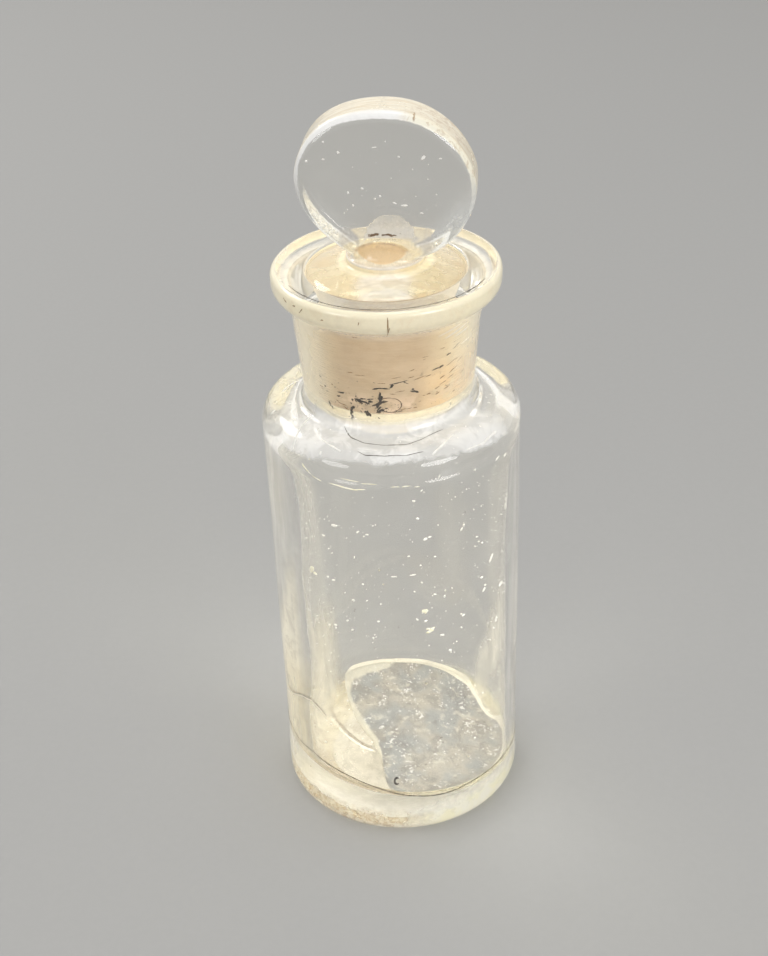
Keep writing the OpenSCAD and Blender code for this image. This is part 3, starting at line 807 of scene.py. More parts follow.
class Finish:
    """A material whose nodes are added by short calls. Places in its nodes are in metres."""

    def __init__(self, name):
        self.material = bpy.data.materials.new(name)
        self.material.use_nodes = True
        self.tree = self.material.node_tree
        self.tree.nodes.clear()
        self.out = self.tree.nodes.new("ShaderNodeOutputMaterial")
        self.place = self.tree.nodes.new("ShaderNodeTexCoord").outputs["Object"]

    def add(self, kind, settings=None, **inputs):
        """A node of a kind, with its settings and its inputs set to numbers, paints or nodes' outputs."""
        node = self.tree.nodes.new("ShaderNode" + kind)
        for key, value in (settings or {}).items():
            setattr(node, key, value)
        for key, value in inputs.items():
            socket = node.inputs[int(key[1:]) if key[0] == "_" else key.replace("_", " ")]
            if isinstance(value, bpy.types.NodeSocket):
                self.tree.links.new(value, socket)
            else:
                socket.default_value = (*value, 1) if socket.type == "RGBA" else value
        return node

    def noise(self, size, detail=3.0, rough=0.5, stretch=(1, 1, 1), bend=0.0):
        """Noise from 0 to 1 whose spots are about size millimetres, drawn out where stretch is below 1."""
        place = self.add("Mapping", None, Vector=self.place, Scale=stretch).outputs["Vector"]
        return self.add("TexNoise", None, Vector=place, Scale=1 / (size * MM), Detail=detail, Roughness=rough,
                        Distortion=bend).outputs["Fac"]

    def ramp(self, value, low, high, start=0.0, end=1.0):
        """Start where value is below low, end where it is above high, and smooth in between."""
        return self.add("MapRange", {"interpolation_type": "SMOOTHSTEP"}, Value=value, _1=low, _2=high,
                        _3=start, _4=end).outputs["Result"]

    def sum(self, kind, a, b=0.0):
        """One of Blender's plain sums of one or two numbers."""
        return self.add("Math", {"operation": kind}, _0=a, _1=b).outputs["Value"]

    def plus(self, *terms):
        """All the terms added."""
        return reduce(lambda total, term: self.sum("ADD", total, term), terms)

    def times(self, *shares):
        """All the shares multiplied."""
        return reduce(lambda total, share: self.sum("MULTIPLY", total, share), shares)

    def minus(self, a, b):
        """The number a less the number b."""
        return self.sum("SUBTRACT", a, b)

    def over(self, a, b):
        """The number a divided by the number b."""
        return self.sum("DIVIDE", a, b)

    def most(self, a, b):
        """The larger of two numbers."""
        return self.sum("MAXIMUM", a, b)

    def size(self, value):
        """A number without its sign."""
        return self.sum("ABSOLUTE", value)

    def swing(self, reach, *noise):
        """Noise moved to lie evenly about 0 and multiplied by reach."""
        return self.times(self.minus(self.noise(*noise), 0.5), reach)

    def squares(self, a, b):
        """The sum of the squares of two numbers."""
        return self.plus(self.times(a, a), self.times(b, b))

    def between(self, share, a, b):
        """Colour a where share is 0 and colour b where it is 1."""
        return self.add("Mix", {"data_type": "RGBA"}, _0=share, _6=a, _7=b).outputs[2]

    def painted(self, color, *layers):
        """A colour under layers of share and paint, of which each covers those before it."""
        return reduce(lambda under, layer: self.between(layer[0], under, layer[1]), layers, color)

    def relief(self, height, depth, before=None):
        """Bump from a height from 0 to 1 whose full depth is in millimetres."""
        inputs = {"Height": height, "Strength": 1.0, "Distance": depth * MM}
        if before is not None:
            inputs["Normal"] = before
        return self.add("Bump", None, **inputs).outputs["Normal"]

    def axes(self):
        """The place in metres as three numbers."""
        split = self.add("SeparateXYZ", None, Vector=self.place)
        return split.outputs["X"], split.outputs["Y"], split.outputs["Z"]

    def from_axis(self):
        """Distance from the bottle's axis in metres."""
        flat = self.add("VectorMath", {"operation": "MULTIPLY"}, _0=self.place, _1=(1, 1, 0))
        return self.add("VectorMath", {"operation": "LENGTH"}, _0=flat.outputs["Vector"]).outputs["Value"]

    def hazed(self, start, *layers):
        """Haze from start and from layers of mask, cloud, strength and evenness: each adds its strength where
        its mask is 1, even by the evenness and clouded for the rest."""
        haze = start
        for mask, cloud, strength, even in layers:
            clouded = self.ramp(cloud, 0, 1, even * strength, strength)
            haze = self.plus(haze, self.times(mask, clouded))
        return self.sum("MINIMUM", haze, HAZE_LIMIT)

    def surface(self, shadow=None, absorb=None, **inputs):
        """Ends in a Principled shader. Glass with a shadow colour lets lamps through for shadow rays only,
        and absorb is the colour and density of the tint in its depth."""
        shader = self.add("BsdfPrincipled", None, **inputs).outputs["BSDF"]
        if shadow is not None:
            path = self.add("LightPath").outputs["Is Shadow Ray"]
            clear = self.add("BsdfTransparent", None, Color=shadow).outputs["BSDF"]
            shader = self.add("MixShader", None, _0=path, _1=shader, _2=clear).outputs["Shader"]
        self.tree.links.new(shader, self.out.inputs["Surface"])
        if absorb is not None:
            tint = self.add("VolumeAbsorption", None, Color=absorb[0], Density=absorb[1])
            self.tree.links.new(tint.outputs["Volume"], self.out.inputs["Volume"])
        return self.material

    def glass(self, haze, haze_color, rough, normal):
        """Clear glass under a haze: where haze is 1 the surface scatters all light in the haze's colour."""
        weight, roughness = GLASS_SHEEN
        return self.surface(
            shadow=CLEAR_SHADOW, absorb=GLASS_TINT, Base_Color=haze_color, Roughness=rough, IOR=GLASS_IOR,
            Transmission_Weight=self.minus(1.0, haze), Normal=normal,
            Sheen_Weight=weight, Sheen_Roughness=roughness, Sheen_Tint=SHEEN)


def ground_film(f):
    """The dried film of the ground joint: fine lines round the cone, tan clouds and small stains. Gives its
    colour share from light to dark, its stains and its lines."""
    lines = f.noise(0.7, 3.0, 0.65, (0.22, 0.22, 3.4))
    clouds = f.ramp(f.noise(2.4, 5.0, 0.65, (1, 1, 1.8), 0.5), 0.38, 0.68)
    stains = f.ramp(f.noise(0.5, 3.0, 0.6, (0.6, 0.6, 1.6)), 0.62, 0.74)
    share = f.plus(f.times(f.ramp(lines, 0.38, 0.68), 0.4), f.times(clouds, 0.6))
    return share, f.times(stains, 0.4), lines


def bloom_shares(f, x, y, z):
    """Dried residue on the inner wall, from the direction round the bottle in degrees and the height. On the
    left it thickens downwards from a slanting edge, and on the right it is a band that slants down to the
    floor. Gives both shares, and the direction's distance from the front in degrees."""
    around = f.sum("ARCTAN2", f.minus(x, HOLLOW_OFF * MM), f.times(y, -1.0))
    degrees = f.times(around, 180 / math.pi)
    ragged = f.swing(0.008, 3.0, 4.0, 0.6, (1, 1, 0.5))
    left_edge = f.plus(f.times(f.plus(degrees, 103.0), 0.00070), 0.0150)
    below = f.plus(f.minus(left_edge, z), ragged)
    left = f.times(f.ramp(below, -0.0015, 0.0075), f.ramp(degrees, -50, -74), f.ramp(degrees, -142, -134))
    right_line = f.plus(f.times(f.minus(degrees, 95.0), -0.00049), 0.0232)
    off_line = f.size(f.plus(f.minus(z, right_line), ragged))
    right = f.times(f.ramp(off_line, 0.0085, 0.0022), f.ramp(degrees, 74, 90), f.ramp(degrees, 138, 128))
    return left, right, f.size(degrees)


def bottle_finish():
    """The bottle's glass: wavy and polished, with dull patches and dust, streaks of dust down both sides that
    are placed there as a painted sheen of the glass's edges, a torn white haze of dust on the deck, thicker
    in front where it is also a painted reflection, cream residue low on the left and right of the wall and on
    the left of the floor, a scuffed foot and heel with tan stains on the left and straw on the right, a cream
    lip and neck with painted light on the neck's sides, and a ground bore under its dried film, hazier and
    paler at the sides as painted light and warm on the right, above a cream collar."""
    f = Finish("old_glass")
    x, y, z = f.axes()
    across = f.from_axis()
    level = f.plus(z, f.times(x, FLOOR_SLOPE))
    patches = f.ramp(f.noise(5.0, 4.0, 0.6), 0.48, 0.72)
    dust = f.ramp(f.noise(0.5, 3.0, 0.7), 0.60, 0.80)
    streaks = f.ramp(f.noise(2.2, 3.0, 0.55, (1, 1, 0.14), 0.5), 0.35, 0.70)
    smears = f.ramp(f.noise(3.2, 3.0, 0.55, (1, 1, 0.6), 0.6), 0.40, 0.68)
    mottle = f.ramp(f.noise(1.3, 5.0, 0.7), 0.35, 0.65)
    blotches = f.ramp(f.noise(2.6, 5.0, 0.65, (1, 1, 1), 0.4), 0.38, 0.64)

    # Body, deck and floor
    inner = f.ramp(across, 0.0153, 0.0146)
    off_foot = f.times(inner, f.ramp(z, 0.0016, 0.0026))
    # Haze down the left and right of the body: dust, put only at the sides as a painted sheen of the glass's
    # brighter edges
    left = f.times(f.ramp(x, -0.0108, -0.0122), off_foot)
    right = f.times(f.ramp(x, 0.0122, 0.0136), off_foot)
    bloom_left, bloom_right, from_front = bloom_shares(f, x, y, z)
    torn = f.plus(z, f.swing(0.0016, 1.6, 4.0, 0.6))
    deck_edge = f.plus(torn, f.ramp(from_front, 15, 65, -0.0010, 0.0))
    deck = f.times(f.ramp(deck_edge, 0.0568, 0.0574), f.ramp(z, 0.0618, 0.0602))
    # Extra white haze on the deck's front: dust, and a painted reflection that makes the deck's front bright
    deck_front_dust_and_painted_reflection = f.times(deck, f.ramp(from_front, 68, 50))
    on_left = f.times(bloom_left, off_foot, f.ramp(level, 0.0056, 0.0078, 0.25, 1.0))
    outer_left = f.times(f.ramp(x, -0.0112, -0.0140), f.ramp(z, 0.025, 0.018), f.ramp(z, 0.003, 0.005))
    on_right = f.times(bloom_right, off_foot)
    floor_left = f.times(f.ramp(x, 0.0, -0.0030), f.ramp(level, 0.0075, 0.0052), off_foot)

    # Foot and heel
    foot = f.ramp(z, 0.0018, 0.0010)
    ring = f.times(foot, f.ramp(across, 0.0107, 0.0111))
    on_heel = f.times(f.ramp(across, 0.0152, 0.0155), f.ramp(torn, 0.0046, 0.0026))
    heel_right = f.times(f.ramp(across, 0.0152, 0.0155), f.ramp(torn, 0.0066, 0.0036),
                         f.ramp(x, -0.0010, 0.0080))
    low_left = f.times(f.most(ring, on_heel), f.ramp(x, 0.005, -0.003), f.ramp(y, 0.002, -0.004))
    speckle = f.times(low_left, f.ramp(f.noise(0.6, 4.0, 0.75, (1, 1, 1), 0.3), 0.46, 0.58))
    tanned = f.times(low_left, f.ramp(f.noise(2.6, 4.0, 0.65), 0.40, 0.56))
    straw = f.times(f.most(ring, on_heel), f.ramp(x, 0.001, 0.006), f.ramp(f.noise(3.0, 3.0), 0.40, 0.60))
    kick_line = f.times(foot, f.ramp(across, 0.01080, 0.01090), f.ramp(across, 0.01105, 0.01095))

    # Lip, neck and bore
    rim = f.times(f.ramp(across, 0.01285, 0.01320), f.ramp(z, 0.0715, 0.0725))
    lip_edge = f.times(rim, f.ramp(z, 0.0757, 0.0762))
    under = f.times(f.ramp(z, 0.0742, 0.0732), f.ramp(z, 0.0715, 0.0725), f.ramp(across, 0.0112, 0.0118),
                    f.ramp(across, 0.01290, 0.01265))
    neck = f.times(f.ramp(z, 0.0600, 0.0615), f.ramp(z, 0.0735, 0.0725), f.ramp(across, 0.0100, 0.0103),
                   f.ramp(across, 0.01265, 0.01240))
    off_middle = f.size(x)
    # Neck haze that grows towards the left and right: painted light for the neck's brighter sides, over a
    # little dust
    aside = f.ramp(off_middle, 0.0060, 0.0100, 0.08, 1.0)
    bore_edge = f.plus(f.times(z, TAPER), (THROAT_R + 0.3 - TAPER * GROUND_LOW_Z) * MM)
    bore = f.times(f.sum("LESS_THAN", across, bore_edge), f.ramp(z, 0.0612, 0.0614),
                   f.ramp(z, 0.0756, 0.0754))
    # More haze on the bore's left and right: painted light for the joint's brighter sides
    bore_sides_painted_light = f.times(bore, f.ramp(off_middle, 0.0058, 0.0086))
    collar = f.times(f.sum("LESS_THAN", across, (THROAT_R + 0.4) * MM), f.ramp(torn, 0.0593, 0.0596),
                     f.ramp(z, 0.0614, 0.0612))
    tan = f.times(f.ramp(f.noise(1.9, 4.0, 0.65, (1, 1, 0.8), 0.4), 0.50, 0.64), f.ramp(lip_edge, 1.0, 0.0))

    haze = f.hazed(
        f.plus(f.ramp(patches, 0, 1, 0.012, 0.042), f.times(dust, 0.05)),
        (deck, smears, 0.13, 0.50), (deck_front_dust_and_painted_reflection, smears, 0.50, 0.62), (left, streaks, 0.30, 0.50),
        (right, streaks, 0.20, 0.50), (on_left, streaks, 0.78, 0.78), (outer_left, streaks, 0.38, 0.55),
        (on_right, streaks, 0.60, 0.65), (floor_left, blotches, 0.24, 0.60), (foot, mottle, 0.76, 0.88),
        (on_heel, blotches, 0.48, 0.45), (heel_right, mottle, 0.66, 0.88), (rim, mottle, 0.84, 0.94),
        (lip_edge, mottle, 0.10, 0.9), (under, mottle, 0.35, 0.7), (f.times(neck, aside), smears, 0.34, 0.75),
        (bore, mottle, BORE_HAZE, 0.85), (bore_sides_painted_light, mottle, 0.45, 0.90), (collar, mottle, 0.60, 0.80))

    share, stains, lines = ground_film(f)
    # Paler cream on the bore's left and right, strongest in front: painted light for its brighter sides
    paler_painted_sides = f.ramp(f.size(f.plus(x, 0.0008)), 0.0035, 0.0082)
    paler_painted_sides = f.times(paler_painted_sides, f.ramp(y, 0.0070, -0.0030, 0.35, 1.0))
    warm = f.times(f.ramp(x, 0.0015, 0.0060), f.ramp(z, 0.0690, 0.0640),
                   f.ramp(f.noise(2.4, 4.0, 0.6, (1, 1, 1.5)), 0.30, 0.55))
    blush = f.times(f.ramp(z, 0.0645, 0.0625), f.ramp(f.noise(2.0, 3.0, 0.5), 0.50, 0.62))
    film = f.painted(f.between(share, *BORE_FILM), (paler_painted_sides, BORE_SIDE_PAINTED_LIGHT), (warm, BORE_WARM),
                     (f.times(blush, 0.7), BORE_BLUSH), (stains, BORE_STAIN))

    creamy = f.plus(on_left, floor_left, f.times(f.plus(left, right), 0.7),
                    f.plus(ring, rim, f.plus(on_right, neck)))
    residue = f.most(floor_left, f.most(on_left, f.times(outer_left, 0.6)))
    smudge = f.times(residue, f.ramp(f.noise(1.7, 5.0, 0.7, (1, 1, 1), 0.5), 0.46, 0.62))
    color = f.painted(
        f.between(f.sum("MINIMUM", creamy, 1.0), WHITE_HAZE, CREAM_HAZE),
        (residue, FLOOR_RESIDUE), (f.most(on_left, outer_left), WALL_RESIDUE),
        (f.times(smudge, 0.70), SMUDGE), (f.most(on_heel, heel_right), HEEL_CREAM), (ring, RING_CREAM),
        (f.times(tanned, 0.6), HEEL_TAN), (f.times(speckle, 0.75), HEEL_SPECKLE), (rim, RIM_CREAM),
        (f.times(straw, 0.8), STRAW), (f.times(kick_line, 0.6), KICK_SHADE),
        (f.times(tan, rim, 0.38), RIM_TAN), (bore, film), (collar, COLLAR_CREAM))
    rough = f.ramp(bore, 0, 1, f.ramp(patches, 0, 1, 0.015, 0.09), 0.32)
    form = f.relief(f.noise(7.0, 2.0, 0.4, (1, 1, 0.5)), 0.05)
    form = f.relief(f.times(lines, bore), 0.04, form)
    return f.glass(haze, color, rough, form)


def stopper_finish():
    """The stopper's glass: brilliant faces on the disc inside a white worn edge that is also a painted
    highlight, strongest at the top, a cream rim that is stained and cracked on the upper right, painted
    silver sheens low on both sides, a scuffed patch over a dark broken seam in a painted grey sheen, a tan
    spot in a pale halo over a bright bead, a mottled dome with a painted highlight in front, a ground cone
    under its dried film, and a pale band round the plug's end."""
    f = Finish("pressed_glass")
    x, y, z = f.axes()
    across = f.from_axis()
    patches = f.ramp(f.noise(4.0, 4.0, 0.6), 0.50, 0.75)
    wear = f.ramp(f.noise(0.9, 4.0, 0.7, (1, 1, 1), 0.5), 0.35, 0.70)
    layers = f.ramp(f.noise(0.9, 3.0, 0.6, (0.16, 2.6, 0.5), 0.3), 0.38, 0.64)
    wobble = f.swing(0.034, 1.1, 4.0, 0.6)

    # Places on the disc: along its width, behind its middle plane, up from its middle and out to its edge
    off = f.minus(x, DISC_OFF * MM)
    turn_x, turn_y = math.cos(DISC_TURN), math.sin(DISC_TURN)
    along = f.plus(f.times(off, turn_x), f.times(y, turn_y))
    behind = f.minus(f.times(y, turn_x), f.times(off, turn_y))
    front = f.ramp(behind, -0.0014, -0.0018)
    up = f.minus(z, DISC_Z * MM)
    slip = f.times(up, f.ramp(along, 0.0030, -0.0070), DISC_LEAN)
    aside = f.over(f.plus(along, slip), 0.00985)
    above = f.over(up, 0.0086)
    out = f.plus(f.sum("SQRT", f.squares(aside, above)), wobble)
    # The white edge: wear, and also a painted highlight band that is stronger towards the top
    edge = f.times(f.ramp(out, 0.975, 0.995), f.ramp(up, -0.0020, 0.0030, 0.30, 1.0),
                   f.ramp(up, -0.0078, -0.0062))
    band = f.times(f.ramp(f.size(behind), 0.0024, 0.0019), f.ramp(out, 0.93, 0.97),
                   f.ramp(up, -0.003, 0.002, 0.05, 1.0))
    low_rim = f.times(f.ramp(out, 0.99, 1.02), f.ramp(up, 0.0005, -0.0035), f.ramp(z, 0.0790, 0.0800), layers)

    # Scuffed patch, seam, painted silver and grey sheens, and tan spot
    scuff_x = f.over(f.minus(along, 0.00045), 0.0028)
    scuff_z = f.over(f.plus(up, 0.0053), 0.0026)
    scuff = f.plus(f.squares(scuff_x, scuff_z), f.swing(0.9, 0.9, 4.0, 0.6))
    scuff = f.times(f.ramp(scuff, 1.06, 0.98), f.ramp(up, -0.0056, -0.0053), front)
    bowed = f.plus(up, f.times(along, along, 25.0))
    seam = f.times(f.ramp(f.size(f.plus(bowed, 0.00505, torn_line(f))), 0.00017, 0.00009),
                   f.ramp(f.size(along), 0.0024, 0.0019), front, f.ramp(f.noise(0.9, 2.0), 0.40, 0.46))
    above_bead = f.ramp(up, -0.0086, -0.0082)
    # Painted silver sheens: white haze low on both sides of the disc's front
    painted_silver_sheen = f.times(f.ramp(out, 0.64, 0.96), f.ramp(up, 0.0010, -0.0040), front, above_bead)
    eye_x = f.over(f.plus(along, 0.00055), 0.0028)
    eye_z = f.over(f.plus(up, 0.00718), 0.0011)
    eye = f.squares(eye_x, eye_z)
    on_foot = f.times(f.ramp(behind, -0.0024, -0.0028), f.ramp(up, -0.0052, -0.0056))
    halo = f.times(f.ramp(eye, 3.1, 2.5), on_foot, above_bead)
    # Painted grey sheen round the scuff, low on the disc's front
    painted_grey_sheen = f.times(f.ramp(up, -0.0036, -0.0046), f.ramp(f.size(along), 0.0058, 0.0048), front,
                           above_bead, f.ramp(halo, 1, 0))
    eye_brow = f.times(f.ramp(eye, 0.70, 0.95), f.ramp(eye, 1.45, 1.10), f.ramp(up, -0.0073, -0.0069),
                       on_foot)
    eye = f.times(f.ramp(eye, 1.10, 0.80), on_foot)

    # Bead, dome and plug
    bead = f.times(f.ramp(f.size(f.minus(z, BEAD_Z * MM)), 0.00055, 0.00040), f.ramp(across, 0.0040, 0.0042))
    dome = f.times(f.ramp(z, (DOME_LOW_Z - 0.25) * MM, (DOME_LOW_Z - 0.1) * MM),
                   f.ramp(z, (BEAD_Z + 0.3) * MM, (BEAD_Z + 0.1) * MM))
    scratches = f.ramp(f.noise(2.0, 2.0, 0.5, (0.7, 1.2, 1), 0.3), 0.40, 0.66)
    # Painted highlight: a whiter haze on the front of the dome, below the bead
    bright = f.times(dome, f.ramp(y, -0.0040, -0.0056), f.ramp(f.size(f.plus(x, 0.0004)), 0.0042, 0.0022))
    end = f.times(f.ramp(across, 0.0078, 0.0080), f.ramp(z, 0.0594, 0.0597), f.ramp(z, 0.0614, 0.0611))
    cone = f.times(f.ramp(across, 0.00835, 0.00845), f.ramp(z, 0.0612, 0.0614), f.ramp(z, 0.0755, 0.0753))

    haze = f.hazed(
        f.ramp(patches, 0, 1, 0.010, 0.035), (edge, wear, 0.82, 0.94), (low_rim, wear, 0.50, 0.6),
        (painted_silver_sheen, wear, 0.42, 0.55), (painted_grey_sheen, wear, 0.42, 0.80), (halo, wear, 0.30, 0.70),
        (scuff, wear, 0.64, 0.75), (eye, wear, 0.44, 0.8), (seam, wear, 0.6, 0.9), (bead, wear, 0.50, 0.85),
        (dome, scratches, 0.34, 0.55), (bright, scratches, 0.16, 0.60), (end, wear, 0.40, 0.85),
        (cone, wear, CONE_HAZE, 0.90))

    clouded = f.times(dome, f.ramp(f.noise(3.4, 3.0, 0.5), 0.46, 0.62), 0.8)
    yellow = f.times(edge, f.ramp(along, 0.0010, 0.0042))
    stained = f.times(yellow, f.ramp(up, 0.0005, 0.0020),
                      f.ramp(f.noise(0.9, 5.0, 0.7, (1, 1, 1), 0.5), 0.50, 0.62))
    crack = f.times(f.ramp(f.size(f.plus(f.minus(along, 0.00345), torn_line(f))), 0.00015, 0.00007),
                    f.ramp(up, 0.0080, 0.0083), front)
    share, stains, lines = ground_film(f)
    film = f.between(stains, f.between(share, *CONE_FILM), CONE_STAIN)
    color = f.painted(
        f.between(dome, WHITE_HAZE, DOME_STRAW), (clouded, DOME_TAN), (bright, DOME_PAINTED_HIGHLIGHT),
        (yellow, EDGE_CREAM), (band, f.between(layers, *BAND_LAYERS)),
        (f.times(stained, 0.55), EDGE_STAIN), (f.times(crack, 0.8), CRACK), (painted_silver_sheen, PAINTED_SILVER_SHEEN),
        (painted_grey_sheen, PAINTED_GREY_SHEEN), (halo, HALO), (scuff, SCUFF), (seam, SEAM), (eye, EYE),
        (f.times(eye_brow, 0.7), EYE_BROW), (cone, film))
    rough = f.plus(f.ramp(patches, 0, 1, 0.012, 0.06), f.times(f.most(edge, end), 0.25),
                   f.plus(f.times(dome, 0.05), f.times(cone, 0.42)))
    form = f.relief(f.noise(6.0, 2.0, 0.4), 0.03, f.relief(f.times(wear, edge), 0.008))
    form = f.relief(f.times(wear, scuff), 0.05, form)
    form = f.relief(f.times(scratches, dome), 0.010, form)
    form = f.relief(f.times(lines, cone), 0.04, form)
    return f.glass(haze, color, rough, form)


def torn_line(f):
    """A sideways wobble in metres that makes a straight line look torn."""
    return f.swing(0.0006, 0.6, 3.0)


def plain_grain(name, color, other, rough):
    """Finish of small flakes and grains: two colours in fine clouds, and a gritty relief."""
    f = Finish(name)
    cloud = f.ramp(f.noise(0.3, 3.0, 0.6), 0.4, 0.6)
    return f.surface(Base_Color=f.between(cloud, color, other), Roughness=rough,
                     Normal=f.relief(f.noise(0.1, 2.0), 0.03))


def dried_crust():
    """Dried grey film: dark grey and warm clouds with darker spots, pale lumps, white grains and dark pits,
    and at its edge a thin bright tide mark over a wider and weaker band of cream."""
    f = Finish("dried_residue")
    clouds = f.ramp(f.noise(4.5, 3.0, 0.5), 0.40, 0.62)
    spots = f.ramp(f.noise(2.2, 4.0, 0.6, (1, 1, 1), 0.3), 0.42, 0.66)
    gather = f.ramp(f.noise(2.6, 4.0, 0.6), 0.44, 0.62)
    grains = f.ramp(f.plus(f.noise(0.5, 2.0, 0.6), f.times(gather, 0.12)), 0.66, 0.74)
    lumps = f.ramp(f.noise(1.5, 4.0, 0.6, (1, 1, 1), 0.5), 0.54, 0.68)
    pits = f.ramp(f.noise(0.7, 3.0, 0.6), 0.34, 0.27)
    tide = f.add("Attribute", {"attribute_name": "tide"}).outputs["Fac"]
    x, y, _ = f.axes()
    wide = f.times(f.ramp(x, -0.0010, -0.0050, 0.0, 0.11), f.ramp(y, -0.010, -0.004))
    edge = f.plus(tide, wide, f.times(f.noise(1.8, 4.0), 0.07))
    color = f.painted(
        f.between(clouds, *CRUST_CLOUDS), (f.times(spots, 0.65), CRUST_SPOT),
        (f.times(lumps, 0.60), CRUST_LUMP), (f.times(grains, 0.85), CRUST_GRAIN),
        (f.times(pits, 0.7), CRUST_PIT),
        (f.ramp(edge, 1.0, 1.04, 0.0, 0.65), CRUST_EDGE), (f.ramp(tide, 0.974, 0.984), CRUST_TIDE))
    bumps = f.relief(f.plus(spots, f.times(grains, 0.8)), 0.09)
    return f.surface(Base_Color=color, Roughness=f.ramp(spots, 0, 1, 0.45, 0.8), Normal=bumps,
                     Transmission_Weight=0.25, IOR=1.4, shadow=(0.6, 0.6, 0.6))


# Stage

WORLD_LIGHT = 0.50      # share of white at which the surroundings light the scene
WORLD_WHITE = (1.0, 0.99, 0.97)
FLOOR_PAINTS = ((0.39, 0.388, 0.38), (0.41, 0.408, 0.40))
FLOOR_HALF = 3000.0
FLOOR_DROP = 0.03       # keeps the floor just under the foot's ring
CAMERA_PLACE = (-0.05, -163.82, 150.70)
CAMERA_TURNS = (-0.00714, 0.56656, -0.03949)    # pan to the right, tilt down and roll, in radians
FOCAL_LENGTH = 57.480

# Name, place, aim, width, depth, power in watts and colour of the soft lamps
LAMPS = (
    ("key_softbox", (-420, 420, 520), (0, 0, 40), 360, 260, 1.45, (1.0, 0.99, 0.97)),
    ("top_softbox", (60, 60, 760), (0, 0, 60), 260, 260, 0.68, (1, 1, 1)),
    ("fill_softbox", (420, -480, 420), (0, 0, 50), 400, 300, 2.2, (1, 1, 1)),
    ("side_softbox", (-520, -430, 320), (0, 0, 50), 300, 260, 0.95, (1, 1, 1)))


def softbox(name, place, aim, width, depth, power, color):
    """Flat soft lamp in millimetres, which points from its place at its aim."""
    lamp = bpy.data.lights.new(name, "AREA")
    lamp.shape = "ELLIPSE"
    lamp.size, lamp.size_y = width * MM, depth * MM
    lamp.energy = power
    lamp.color = color
    box = bpy.data.objects.new(name, lamp)
    place, aim = Vector(place) * MM, Vector(aim) * MM
    box.matrix_world = Matrix.Translation(place) @ (aim - place).to_track_quat("-Z", "Y").to_matrix().to_4x4()
    bpy.context.scene.collection.objects.link(box)


def make_camera():
    """Camera in front of the bottle and above it, from a fit to the rings of its foot, lip and disc."""
    pan, tilt, roll = CAMERA_TURNS
    ahead = Vector((math.sin(pan) * math.cos(tilt), math.cos(pan) * math.cos(tilt), -math.sin(tilt)))
    level = ahead.cross(Vector((0, 0, 1))).normalized()
    upright = level.cross(ahead)
    right = math.cos(roll) * level + math.sin(roll) * upright
    up = -math.sin(roll) * level + math.cos(roll) * upright
    lens = bpy.data.cameras.new("camera")
    lens.lens, lens.sensor_width = FOCAL_LENGTH, 36.0
    lens.clip_start, lens.clip_end = 0.01, 20.0
    camera = bpy.data.objects.new("camera", lens)
    camera.matrix_world = Matrix.Translation(Vector(CAMERA_PLACE) * MM) @ Matrix(
        (right, up, -ahead)).transposed().to_4x4()
    bpy.context.scene.collection.objects.link(camera)
    bpy.context.scene.camera = camera


def make_floor():
    """Plain pale floor, just under the foot's ring."""
    corners = [(x * FLOOR_HALF, y * FLOOR_HALF, -FLOOR_DROP) for x, y in ((-1, -1), (1, -1), (1, 1), (-1, 1))]
    f = Finish("pale_table")
    paint = f.surface(Base_Color=f.between(f.noise(1.2, 3.0, 0.6), *FLOOR_PAINTS), Roughness=0.7)
    floor = make_piece("table", corners, [[0, 1, 2, 3]], [paint], tidy=False)


def make_world():
    """Even pale surroundings. They light the scene softly, and show as white where the camera sees them, also
    through glass and in its reflections."""
    world = bpy.data.worlds.new("studio")
    world.use_nodes = True
    tree = world.node_tree
    path = tree.nodes.new("ShaderNodeLightPath")
    seen = path.outputs["Is Camera Ray"]
    for kind in ("Is Glossy Ray", "Is Transmission Ray"):
        either = tree.nodes.new("ShaderNodeMath")
        either.operation = "MAXIMUM"
        tree.links.new(seen, either.inputs[0])
        tree.links.new(path.outputs[kind], either.inputs[1])
        seen = either.outputs["Value"]
    strength = tree.nodes.new("ShaderNodeMapRange")
    strength.inputs["To Min"].default_value = WORLD_LIGHT
    strength.inputs["To Max"].default_value = 1.0
    tree.links.new(seen, strength.inputs["Value"])
    background = tree.nodes["Background"]
    background.inputs["Color"].default_value = (*WORLD_WHITE, 1)
    tree.links.new(strength.outputs["Result"], background.inputs["Strength"])
    bpy.context.scene.world = world


scene = bpy.context.scene
scene.view_settings.view_transform = "Standard"
scene.cycles.use_denoising = True
scene.cycles.max_bounces = 32
scene.cycles.transmission_bounces = 28
scene.cycles.glossy_bounces = 12
scene.cycles.transparent_max_bounces = 32

make_camera()
make_world()
make_floor()
for lamp in LAMPS:
    softbox(*lamp)


# Bottle, stopper and film, each in place of its CAD node

bottle = make_bottle(bottle_finish())
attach(bottle, "bottle")
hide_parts("bottle")

stopper = make_stopper(stopper_finish())
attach(stopper, "stopper")
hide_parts("stopper")

film = make_film(dried_crust())
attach(film, "bottle")
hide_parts("floor_residue")


# Residue and marks on the glass, with painted highlights and a painted shade line

